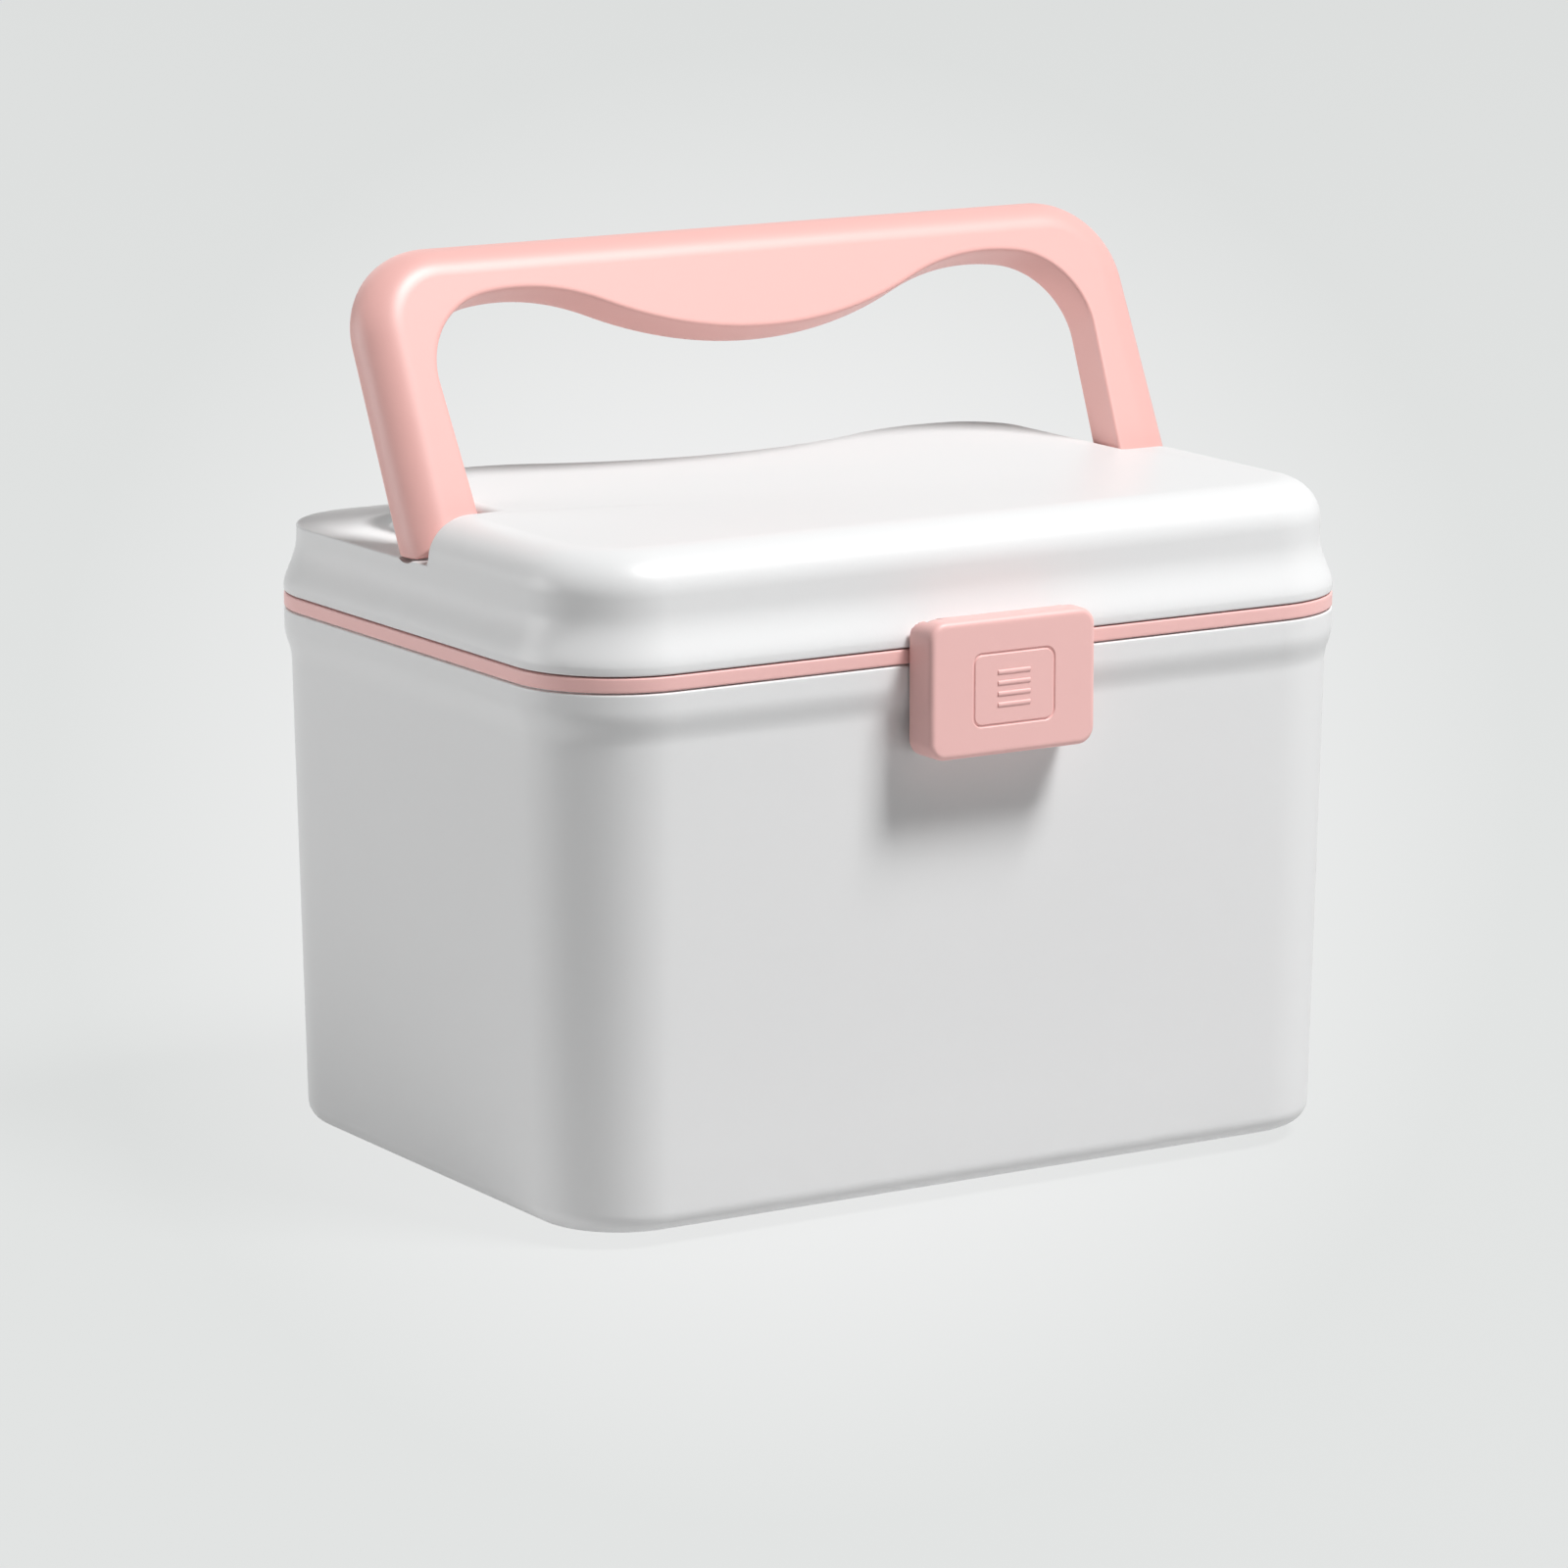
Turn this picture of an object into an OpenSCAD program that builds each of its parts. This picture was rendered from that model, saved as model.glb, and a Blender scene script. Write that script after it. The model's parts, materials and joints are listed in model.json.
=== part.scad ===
// First aid case: a moulded box with a hinged lid, a bail handle that folds round
// the lid's plateau, a snap latch and a lift-out tray. Millimetres, +Z up, the
// origin on the ground under the middle of the case, the latch towards -Y.

/* [Case body] */
// Width of the case over its rim
case_w = 210; // [190:1:235]
// Depth of the case over its rim, without latch and hinges
case_d = 150; // [138:1:180]
// Corner radius of the rim's outline
corner_r = 25.5; // [21:0.5:32]
// Height of the body from its floor's underside to its rim
body_h = 120.1; // [100:0.1:160]
// Thickness of the moulded walls of body and lid
wall = 2.2; // [1.8:0.1:2.6]
// Thickness of the body's floor
floor_t = 2.4; // [1.6:0.1:4]
// Height of the straight rim at the top of the body
rim_h = 3.9; // [3:0.1:8]
// How far the body draws in below its rim
body_neck = 1.2; // [0.6:0.1:2.6]
// Height over which the body draws in
body_neck_h = 10.5; // [4:0.1:14]
// Further taper of each side down to the floor
body_taper = 2.7; // [0.5:0.1:4]
// Radius of the edge between the sides and the floor
base_round = 5; // [4:0.5:12]
// Height of the foot rim that the case stands on
foot_h = 3.2; // [1.5:0.1:5]
// Width of the foot rim
foot_w = 4; // [2.5:0.1:8]
// Distance of the foot rim from the case's outline
foot_inset = 21; // [18:0.5:24]

/* [Rim band] */
// Height of the band that shows between body and lid
band_h = 3.2; // [2.8:0.1:8]
// Width of the shadow gaps above and below the band
seam = 0.35; // [0.2:0.05:0.6]
// Thickness of the band's collar inside the body's rim
collar_t = 1.6; // [1.2:0.1:2.4]
// Height of the band's tongue that stands in the lid's groove
tongue_h = 1.6; // [1:0.1:1.8]
// Thickness of that tongue
tongue_t = 1.3; // [1:0.1:1.6]

/* [Lid] */
// Height of the lid from its lower edge to the top of its plateau
lid_h = 25.8; // [23:0.1:34]
// Height of the plateau over the shelf that the folded handle lies on
plateau_h = 10.6; // [10.2:0.1:12]
// How far the lid draws in from its rim to its neck
lid_neck = 3; // [2.4:0.1:4.5]
// Height of the straight rim at the lid's lower edge
lid_rim_h = 1.6; // [1.2:0.1:3]
// Height over which the lid draws in
lid_neck_h = 11; // [8:0.1:12]
// Width of the round between the lid's side and its top
top_round_w = 10.5; // [8:0.1:13]
// Height of that round
top_round_h = 9.3; // [8:0.1:11]
// Radius of the plateau's edge that faces the folded handle
plateau_round = 3; // [1.5:0.1:4]
// Gap between the plateau's wall and the folded handle
plateau_gap = 2.6; // [2.2:0.1:4]
// Thickness of the lid's skirt inside the band
skirt_t = 1.6; // [1.2:0.1:2.2]
// How far the skirt reaches below the top of the band
skirt_drop = 3.8; // [2.5:0.1:4.5]

/* [Handle] */
// Thickness of the handle from front to back
handle_t = 10.5; // [9:0.1:10.9]
// Width of each leg of the handle at its foot
leg_w = 16.4; // [14:0.1:20]
// How much a leg narrows towards the grip
leg_taper = 1.7; // [0.5:0.1:3]
// Height of the arches over the pivot
arch_h = 52.6; // [46:0.1:62]
// Depth of the grip's belly below the arches
belly_h = 13.7; // [10:0.1:16]
// Height of the grip over the arches
bar_h = 13; // [11:0.1:18]
// Radius of the belly's lower edge
belly_r = 99; // [85:1:115]
// Radius of the arches on each side of the belly
arch_r = 52.5; // [46:0.5:60]
// Radius of the inner corners between arches and legs
inner_corner_r = 19; // [15:0.5:22]
// Radius of the outer corners between grip and legs
outer_corner_r = 21; // [18:0.5:26]
// Radius of the handle's outer long edge at its front
front_round = 8.5; // [5:0.1:9]
// Radius of the handle's outer long edge at its rear
rear_round = 1.5; // [1:0.1:2]
// How far the foot of a leg reaches beyond half the handle's thickness
heel = 0.95; // [0.5:0.05:1.2]
// Gap between the folded handle and the shelf
fold_gap = 0.4; // [0.2:0.05:0.6]
// Tilt of the handle behind upright as the case stands
handle_tilt = 26; // [0:1:40]
// Radius of the bosses that the handle turns on
boss_r = 2.8; // [2.4:0.1:3.6]
// Gap between the folded grip and the lid's rear side
fold_margin = 2.4; // [0.8:0.1:4]
// Distance from the pivot to the front wall of the leg slots
slot_front = 10; // [9:0.1:12]
// Radius of the slots' lower front corner
slot_round = 2; // [1:0.1:3]
// Skin of the handle over its moulded hollow
handle_skin = 2.4; // [1.8:0.1:3.5]
// Spacing of the ribs in that hollow
rib_pitch = 15; // [10:0.5:24]
// Thickness of those ribs
rib_t = 1.4; // [1:0.1:2.4]

/* [Latch] */
// Width of the latch
latch_w = 43; // [34:0.5:56]
// Height of the latch
latch_h = 30.5; // [26:0.5:36]
// How far the latch stands out beyond its rear edge
latch_t = 8.9; // [8:0.1:12]
// Gap between the latch's rear edge and the case's rim
latch_gap = 0.6; // [0.5:0.1:1.5]
// Height of the latch's top over the lid's lower edge
latch_rise = 6.5; // [5:0.1:7]
// Corner radius of the latch's front
latch_corner_r = 4; // [2.5:0.1:6]
// Radius of the edge round the latch's front
latch_edge_r = 1.3; // [0.6:0.1:1.8]
// Radius that the latch's top turns on, from its pin to its top
latch_turn_r = 3.4; // [3.2:0.1:4]
// Thickness of the latch's front
latch_front_t = 2; // [1.4:0.1:2.6]
// Thickness of the latch's cheeks
cheek_t = 2.2; // [1.6:0.1:3]
// Radius of the latch's pin
latch_pin_r = 1; // [0.8:0.05:1.2]
// Width of each lug that carries the pin
lug_w = 2.8; // [2.2:0.1:4]
// Width of the catch under the band and of the hook behind it
catch_w = 28; // [16:0.5:30]
// How far the catch stands out from the rim
catch_out = 3.2; // [2.4:0.1:4]
// Height of the catch's front edge
catch_lip = 1.4; // [1:0.1:2]
// Depth of the catch's underside below the body's rim
catch_drop = 9.2; // [8:0.1:11]
// How far the hook reaches in behind the catch's edge
hook_grip = 2.3; // [1.5:0.1:2.5]
// Thickness of the hook
hook_t = 2.5; // [1.8:0.1:4]
// Width of the plain panel outlined on the latch
badge_w = 21.5; // [10:0.5:24]
// Height of that panel
badge_h = 16.5; // [10:0.5:20]
// Corner radius of that panel
badge_r = 2.5; // [1:0.5:4]

/* [Hinges] */
// Distance of each hinge from the case's middle
hinge_x = 55; // [40:1:70]
// Length of each hinge
hinge_l = 30; // [22:0.5:40]
// Radius of the hinge knuckles
knuckle_r = 3.9; // [3.2:0.1:5]
// Distance of the hinge axis behind the rim
hinge_out = 5.6; // [5:0.1:7]
// Radius of the hinge pins
hinge_pin_r = 1.5; // [1:0.05:2]

/* [Tray] */
// Height of the lift-out tray
tray_h = 34; // [24:0.5:50]
// Thickness of the tray's walls
tray_wall = 1.6; // [1.2:0.1:2.4]
// Gap round the tray at its rim
tray_gap = 1.6; // [0.6:0.1:3]
// Draft of the tray's walls from rim to floor
tray_draft = 1.5; // [0.5:0.1:3]
// Depth of the tray's rim below the body's rim
tray_drop = 11.3; // [8:0.1:16]
// Place of the tray's long divider behind its middle
divider_y = 10; // [-20:1:25]
// Distance of the short dividers from the tray's middle
divider_x = 32; // [20:1:60]
// Depth of the dividers' tops below the tray's rim
divider_drop = 6; // [3:0.5:10]
// Width of the pinch grip on the long divider, level with the tray's rim
pinch_w = 36; // [24:1:50]
// Distance of the ribs that carry the tray from the case's middle
rest_x = 58; // [30:1:70]
// Thickness of those ribs
rest_t = 2; // [1.4:0.1:3]
// How far those ribs reach in under the tray's floor
rest_ledge = 2.5; // [1.5:0.1:4]

/* [Hidden] */
$fn = 96;

white = [0.93, 0.93, 0.93];
pink = [0.96, 0.79, 0.77];
steel = [0.72, 0.73, 0.75];
milky = [0.95, 0.93, 0.92];

// Clearance of a pin in the piece that turns on it
run_fit = 0.08;
// Clearance between pieces that slide past each other
slip = 0.3;
// Clearance that the skirt needs to swing past the band's tongue as the lid opens
swing_gap = 0.9;
// Small break of the edges at the seams
edge = 0.4;
// Reach of a cutter past the surface that it cuts
past = 1;
// Width of the strip of a swept lip that overlaps the plate behind it
lap = 3;
// Degrees between the points of a round profile
step_a = 11.25;
// Exponent that sets the lid's flare closer to its rim than to its neck
flare_skew = 1.3;

half_w = case_w / 2;
half_d = case_d / 2;

// Heights
floor_z = foot_h;
rim_z = foot_h + body_h;
band_z = rim_z + seam;
band_top = band_z + band_h;
lid_z = band_top + seam;
top_z = lid_z + lid_h;
shelf_z = top_z - plateau_h;
roof_z = shelf_z - wall;

// Insets from the rim's outline
collar_out = wall + 0.2;
collar_in = collar_out + collar_t;
skirt_out = collar_in + swing_gap;
skirt_in = skirt_out + skirt_t;

// The handle lies folded with its grip just inside the lid's rear side
handle_reach = arch_h + bar_h;
handle_half = half_w - lid_neck;
foot_x = handle_half - leg_w;
leg_x = foot_x + leg_taper;
pivot_y = half_d - lid_neck - fold_margin - handle_reach;
pivot_z = shelf_z + fold_gap + handle_t / 2;
slot_y = pivot_y - slot_front;

// The grip's inner outline: a belly, two arches and two corners that run into
// each other without a kink. Centres in the handle's plane, from its pivot.
belly_c = [0, arch_h - belly_h + belly_r];
arch_c = [sqrt(pow(belly_r + arch_r, 2) - pow(belly_r + arch_r - belly_h, 2)), arch_h - arch_r];
inner_c = [leg_x - inner_corner_r,
           arch_c[1] + sqrt(pow(arch_r - inner_corner_r, 2)
                            - pow(leg_x - inner_corner_r - arch_c[0], 2))];
belly_turn = atan2(arch_c[1] - belly_c[1], arch_c[0]);
arch_turn = atan2(inner_c[1] - arch_c[1], inner_c[0] - arch_c[0]);
outer_c = [handle_half - outer_corner_r, handle_reach - outer_corner_r];

// Round of the handle's front edge, with room left for the rear one
front_r = min(front_round, handle_t - rear_round - 0.2);
// A leg's foot is round about the pivot, and cut level with the shelf beneath it as
// the handle stands
foot_r = handle_t / 2 + heel;
foot_level = pivot_z - shelf_z - slip;

// Latch and its pin
latch_back = -half_d - latch_gap;
latch_face = latch_back - latch_t;
latch_top = lid_z + latch_rise;
latch_mid_z = latch_top - latch_h / 2;
latch_pin_y = latch_back - latch_turn_r;
latch_pin_z = latch_top - latch_turn_r;
roof_t = 1.1;
lug_r = latch_turn_r - roof_t - 0.2;
lug_neck = lug_r - 0.3;
lug_x = latch_w / 2 - cheek_t - slip - lug_w;
notch_turn = 98;
catch_z = rim_z - catch_drop;
catch_y = -half_d - catch_out;

// Hinges
hinge_y = half_d + hinge_out;
hinge_z = band_z + band_h / 2;
leaf_l = hinge_l * 0.45;
leaf_lip = 1;
knuckle_gap = 0.3;

// Tray
tray_top = rim_z - tray_drop;
tray_z = tray_top - tray_h;
tray_inset = body_neck + wall + tray_gap;
tray_round = 4;
rest_in = tray_inset + tray_draft + tray_round + rest_ledge;

// A smooth step between two insets, as [inset, height]; a skew over 1 moves its
// steepest part down
function s_step(in0, in1, z0, z1, n, skew) =
    [for (i = [0:n]) [in0 + (in1 - in0) * (1 - cos(180 * i / n)) / 2,
                      z0 + (z1 - z0) * pow(i / n, skew)]];

// Side of the body from floor to rim, moved in by a wall and up by a floor
function body_side(off, up) = concat(
    [for (a = [0:step_a:90])
        [body_neck + body_taper + base_round - (base_round - off) * sin(a),
         floor_z + base_round - (base_round - up) * cos(a)]],
    s_step(body_neck + off, off, rim_z - rim_h - body_neck_h, rim_z - rim_h, 8, 1));

// Side of the lid from its lower edge to its top, moved in by a wall
function lid_side(off) = concat(
    s_step(off, lid_neck + off, lid_z + lid_rim_h, lid_z + lid_rim_h + lid_neck_h, 10,
           flare_skew),
    [for (a = [0:step_a:90])
        [lid_neck + top_round_w - (top_round_w - off) * cos(a),
         top_z - top_round_h + (top_round_h - off) * sin(a)]]);

// A section swept round a rectangle with round corners. The section is given as
// [inset from the outline, height].
module rim_sweep(w, d, r, section) {
    radial = [for (p = section) [r - p[0], p[1]]];
    for (turn = [0, 180]) rotate(turn) {
        translate([w / 2 - r, d / 2 - r]) rotate_extrude(angle = 90) polygon(radial);
        translate([w / 2 - r, r - d / 2]) rotate_extrude(angle = 90, start = -90) polygon(radial);
        translate([w / 2 - r, d / 2 - r]) rotate([90, 0, 0])
            linear_extrude(d - 2 * r) polygon(radial);
        translate([r - w / 2, d / 2 - r]) rotate([90, 0, 90])
            linear_extrude(w - 2 * r) polygon(radial);
    }
}

// A solid block whose side follows a profile of [inset, height] from bottom to top
module rim_block(w, d, r, side) {
    low = side[0][1];
    high = side[len(side) - 1][1];
    rim_sweep(w, d, r, concat([[r, low]], side, [[r, high]]));
    translate([r - w / 2, r - d / 2, low]) cube([w - 2 * r, d - 2 * r, high - low]);
}

// A plain block with round corners, inset from the case's outline
module inner_block(inset, z0, z1) {
    rim_block(case_w, case_d, corner_r, [[inset, z0], [inset, z1]]);
}

// Right half of the grip's inner outline from its middle to the leg, as pairs of a
// point and the direction away from the opening
inner_path = concat(
    [for (a = bends(-90, belly_turn, 4)) [belly_c + belly_r * dir(a), -dir(a)]],
    [for (a = bends(180 + belly_turn, arch_turn, 5)) [arch_c + arch_r * dir(a), dir(a)]],
    [for (a = bends(arch_turn, 0, 7)) [inner_c + inner_corner_r * dir(a), dir(a)]],
    [[[leg_x, inner_c[1]], [1, 0]]]);

function dir(a) = [cos(a), sin(a)];

// Angles from one to another in equal steps near a given step, without the last
function bends(a0, a1, step) =
    let (n = ceil(abs(a1 - a0) / step)) [for (i = [0:n - 1]) a0 + (a1 - a0) * i / n];

// That half outline moved by an offset
function half_outline(off) = [for (s = inner_path) s[0] + off * s[1]];

function backwards(list) = [for (i = [len(list) - 1:-1:0]) list[i]];

function flipped(points) = [for (p = backwards(points)) [-p[0], p[1]]];

// Region that the plateau and the front of the lid cover: the outline's side moved
// by one offset, the slots' front walls by another
module plateau_region(off, front_off) {
    front = concat([for (p = half_outline(off)) p + [0, pivot_y]],
        [[leg_x + off, slot_y + front_off], [case_w, slot_y + front_off], [case_w, -case_d]]);
    polygon(concat([for (i = [1:len(front) - 1]) front[i]], flipped(front)));
}

// The part of the plateau behind the slots' front walls, as a solid whose rear side
// follows the outline at every level of [offset, height] from bottom to top
module plateau_rear(levels) {
    left = [for (s = backwards(inner_path)) [[-s[0][0], s[0][1]], [-s[1][0], s[1][1]]]];
    path = concat(left, [for (i = [1:len(inner_path) - 1]) inner_path[i]]);
    n = len(path);
    top = len(levels) - 1;
    front = slot_y - 4 * past;
    polyhedron(
        points = [for (v = levels) for (side = [0, 1]) for (s = path)
            let (p = s[0] + v[0] * s[1]) [p[0], side == 0 ? p[1] + pivot_y : front, v[1]]],
        faces = concat(
            [for (l = [0:top - 1]) for (i = [0:n - 2]) for (side = [0, 1])
                let (a = 2 * n * l + n * side + i, c = a + 2 * n + 1)
                    side == 0 ? [a, a + 1, c] : [a, c, a + 1]],
            [for (l = [0:top - 1]) for (i = [0:n - 2]) for (side = [0, 1])
                let (a = 2 * n * l + n * side + i, c = a + 2 * n + 1)
                    side == 0 ? [a, c, c - 1] : [a, c - 1, c]],
            [for (l = [0, top]) for (i = [0:n - 2]) for (half = [0, 1])
                let (r = 2 * n * l + i, f = r + n,
                     t = half == 0 ? [f, f + 1, r + 1] : [f, r + 1, r])
                    l == 0 ? t : [t[0], t[2], t[1]]],
            [for (l = [0:top - 1]) for (i = [0, n - 1]) for (half = [0, 1])
                let (r = 2 * n * l + i, f = r + n, u = r + 2 * n,
                     t = half == 0 ? [f, r, u] : [f, u, u + n])
                    i == 0 ? t : [t[0], t[2], t[1]]]));
}

module body_shell() color(white) {
    difference() {
        union() {
            rim_block(case_w, case_d, corner_r, concat(body_side(0, 0),
                [[0, rim_z - edge], [edge, rim_z], [wall / 2, rim_z], [wall / 2, band_z]]));
            foot_rim();
            for (side = [-1, 1]) body_knuckles(side * hinge_x);
            latch_catch();
        }
        rim_block(case_w, case_d, corner_r,
            concat(body_side(wall, floor_t), [[wall, band_z + past]]));
        for (side = [-1, 1]) hinge_bore(side * hinge_x, hinge_pin_r + run_fit);
    }
    tray_rests();
}

module foot_rim() {
    high = floor_z + floor_t / 2;
    rim_sweep(case_w - 2 * foot_inset, case_d - 2 * foot_inset, foot_w + edge,
        [[0, edge], [edge, 0], [foot_w - edge, 0], [foot_w, edge], [foot_w, high], [0, high]]);
}

module hinge_bore(x, r) {
    translate([x - hinge_l / 2 - past, hinge_y, hinge_z]) rotate([0, 90, 0])
        cylinder(r = r, h = hinge_l + 2 * past);
}

// Places a hinge outline, drawn in Y and Z from the axis, over a stretch of X
module along_x(x, l) {
    translate([x - l / 2, 0, 0]) rotate([90, 0, 90]) linear_extrude(l) children();
}

module body_knuckles(x) {
    outer_l = (hinge_l - leaf_l) / 2 - knuckle_gap;
    for (side = [-1, 1])
        translate([0, hinge_y, hinge_z])
            along_x(x + side * (hinge_l - outer_l) / 2, outer_l)
                body_leaf();
}

// The body's leaf leaves the rim below the band and reaches up behind it
module body_leaf() {
    root = -hinge_out - wall / 2;
    low = rim_z - rim_h - body_neck_h * 0.6 - hinge_z;
    high = rim_z - edge - hinge_z;
    circle(knuckle_r);
    polygon([[root, low], [-hinge_out, low], [knuckle_r, -leaf_lip], [knuckle_r, 0],
             [-knuckle_r, 0], [-knuckle_r, high], [root, high]]);
}

// The lid's leaf leaves the lid's rim and reaches down between the body's
module lid_leaf() {
    low = lid_z + edge - hinge_z;
    high = lid_z + lid_rim_h + lid_neck_h * 0.4 - hinge_z;
    circle(knuckle_r);
    polygon([[-hinge_out - wall / 2, low], [-knuckle_r, low], [-knuckle_r, 0], [knuckle_r, 0],
             [knuckle_r - leaf_lip, 2 * leaf_lip], [-hinge_out, high], [-hinge_out - wall, high]]);
}

module lid_knuckles(x) {
    translate([0, hinge_y, hinge_z]) along_x(x, leaf_l) lid_leaf();
}

// The catch is a ridge with a sloping top that the hook snaps over
module latch_catch() {
    root_y = -half_d + 0.8 * wall;
    high = rim_z - rim_h;
    along_x(0, catch_w)
        polygon([[root_y, high + 1], [-half_d, high], [catch_y, catch_z + catch_lip],
                 [catch_y, catch_z], [root_y, catch_z]]);
}

// Ribs on the inner walls whose tops carry the tray
module tray_rests() {
    intersection() {
        rim_block(case_w, case_d, corner_r,
            concat(body_side(wall / 2, floor_t / 2), [[wall / 2, rim_z]]));
        for (side = [-1, 1]) {
            for (x = [-rest_x, rest_x])
                translate([x - rest_t / 2, side > 0 ? half_d - rest_in : -half_d, floor_z])
                    cube([rest_t, rest_in, tray_z - floor_z]);
            translate([side > 0 ? half_w - rest_in : -half_w, -rest_t / 2, floor_z])
                cube([rest_in, rest_t, tray_z - floor_z]);
        }
    }
}

module rim_band() color(pink) {
    tongue_in = collar_in - tongue_t;
    rim_sweep(case_w, case_d, corner_r, [
        [edge, band_z], [collar_out, band_z], [collar_out, rim_z - rim_h + slip],
        [collar_in, rim_z - rim_h + slip], [collar_in, band_top + tongue_h],
        [tongue_in, band_top + tongue_h], [tongue_in, band_top], [edge, band_top],
        [0, band_top - edge], [0, band_z + edge]]);
}

module hinge_pin(x) {
    color(steel) translate([x - hinge_l / 2, hinge_y, hinge_z]) rotate([0, 90, 0])
        cylinder(r = hinge_pin_r, h = hinge_l);
}

module tray() color(milky) {
    bottom = tray_inset + tray_draft;
    difference() {
        rim_block(case_w, case_d, corner_r, concat(
            [for (a = [0:step_a * 2:90])
                [bottom + tray_round * (1 - sin(a)), tray_z + tray_round * (1 - cos(a))]],
            [[tray_inset, tray_top]]));
        rim_block(case_w, case_d, corner_r, concat(
            [for (a = [0:step_a * 2:90])
                [bottom + tray_round - (tray_round - tray_wall) * sin(a),
                 tray_z + tray_round - (tray_round - tray_wall) * cos(a)]],
            [[tray_inset + tray_wall, tray_top + past]]));
    }
    tray_dividers();
}

// One long divider with a raised pinch grip, and two short ones behind it
module tray_dividers() {
    low = tray_z + tray_wall / 2;
    high = tray_top - divider_drop;
    intersection() {
        rim_block(case_w, case_d, corner_r, [
            [tray_inset + tray_draft + tray_round, tray_z],
            [tray_inset + tray_draft + tray_wall / 2, tray_z + tray_round],
            [tray_inset + tray_wall / 2, tray_top]]);
        union() {
            translate([-half_w, divider_y - tray_wall / 2, low])
                cube([case_w, tray_wall, high - low]);
            for (side = [-1, 1])
                translate([side * divider_x - tray_wall / 2, divider_y, low])
                    cube([tray_wall, half_d, high - low]);
            translate([0, divider_y + tray_wall / 2, 0]) rotate([90, 0, 0])
                linear_extrude(tray_wall) both_sides([[0, high - tray_wall],
                    [pinch_w / 2 + divider_drop, high - tray_wall], [pinch_w / 2, tray_top],
                    [0, tray_top]]);
        }
    }
}

module lid_shell() color(white) {
    difference() {
        union() {
            difference() {
                rim_block(case_w, case_d, corner_r,
                    concat([[edge, lid_z], [0, lid_z + edge]], lid_side(0)));
                handle_shelf();
                lid_groove();
                inner_block(skirt_in, lid_z - past, roof_z);
                plateau_hollow();
            }
            rim_sweep(case_w, case_d, corner_r, [
                [skirt_out, band_top - skirt_drop], [skirt_in, band_top - skirt_drop],
                [skirt_in, lid_z + lid_rim_h], [skirt_out, lid_z + lid_rim_h]]);
            for (side = [-1, 1]) lid_knuckles(side * hinge_x);
            for (side = [0, 1]) mirror([side, 0, 0]) latch_lug();
        }
        for (side = [-1, 1]) hinge_bore(side * hinge_x, hinge_pin_r + run_fit);
        for (side = [-1, 1]) handle_bore(side);
        for (side = [-1, 1]) heel_scoop(side);
        latch_pin_rod(latch_w, latch_pin_r + run_fit);
    }
}

// Everything above the shelf and behind the slots that the plateau leaves free
module handle_shelf() {
    corner = [slot_y + slot_round, shelf_z + slot_round];
    difference() {
        along_x(0, 2 * case_w)
            polygon(concat([[case_d, shelf_z], [case_d, top_z + past], [slot_y, top_z + past]],
                [for (a = [180:15:270]) corner + slot_round * dir(a)]));
        plateau_rear(concat([[-plateau_gap, shelf_z - past]],
            [for (a = [0:15:90]) [-plateau_gap - plateau_round * (1 - cos(a)),
                                  top_z - plateau_round * (1 - sin(a))]],
            [[-plateau_gap - plateau_round, top_z + 2 * past]]));
    }
}

// Hollow under the plateau and the front of the lid
module plateau_hollow() {
    intersection() {
        rim_block(case_w, case_d, corner_r, concat([[lid_neck + wall, roof_z - past]],
            [for (p = lid_side(wall)) if (p[1] > roof_z) p]));
        translate([0, 0, roof_z - past]) linear_extrude(top_z)
            plateau_region(-plateau_gap - wall, -wall);
    }
}

// Groove between the lid's flared side and its skirt, open downwards
module lid_groove() {
    flare = [for (p = lid_side(wall)) if (p[0] < skirt_out && p[1] < roof_z) p];
    rim_sweep(case_w, case_d, corner_r, concat(
        [[wall, lid_z - past]], flare,
        [[skirt_out, flare[len(flare) - 1][1] + 1], [skirt_out, lid_z - past]]));
}

// Round bore in the plateau's side for a boss of the handle
module handle_bore(side) {
    x = leg_x - plateau_gap;
    translate([side > 0 ? x - 2 * wall : -x - wall, pivot_y, pivot_z]) rotate([0, 90, 0])
        cylinder(r = boss_r + run_fit, h = 3 * wall);
}

// Scoop in the shelf that the foot of a leg turns in
module heel_scoop(side) {
    l = half_w + past - foot_x + slip;
    translate([side > 0 ? foot_x - slip : slip - foot_x - l, pivot_y, pivot_z]) rotate([0, 90, 0])
        cylinder(r = foot_r + slip, h = l);
}

module latch_lug() {
    root_y = wall / 2 - half_d - latch_pin_y;
    translate([lug_x, latch_pin_y, latch_pin_z]) rotate([90, 0, 90]) linear_extrude(lug_w) {
        circle(lug_r);
        polygon([[0, 0.05 - lug_r], [root_y - wall, -lug_neck], [root_y, -lug_neck], [root_y, 0],
                 [0, 0]]);
    }
}

// The latch's pin, or the hole for it
module latch_pin_rod(l, r) {
    translate([-l / 2, latch_pin_y, latch_pin_z]) rotate([0, 90, 0]) cylinder(r = r, h = l);
}

module latch_pin() color(steel) latch_pin_rod(latch_w - cheek_t, latch_pin_r);

// A block with the latch's outline, from its rear plane towards its face
module latch_block(side) {
    translate([0, latch_back, latch_mid_z]) rotate([90, 0, 0])
        rim_block(latch_w, latch_h, latch_corner_r, side);
}

module latch_flap() color(pink) {
    difference() {
        latch_block(concat([[0, 0]], [for (a = [0:22.5:90])
            [latch_edge_r * (1 - cos(a)), latch_t - latch_edge_r * (1 - sin(a))]]));
        latch_hollow();
        latch_turn_round();
        for (side = [0, 1]) mirror([side, 0, 0]) lug_slot();
        latch_pin_rod(latch_w - cheek_t + slip, latch_pin_r + run_fit);
        latch_badge();
    }
    latch_hook();
}

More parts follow.
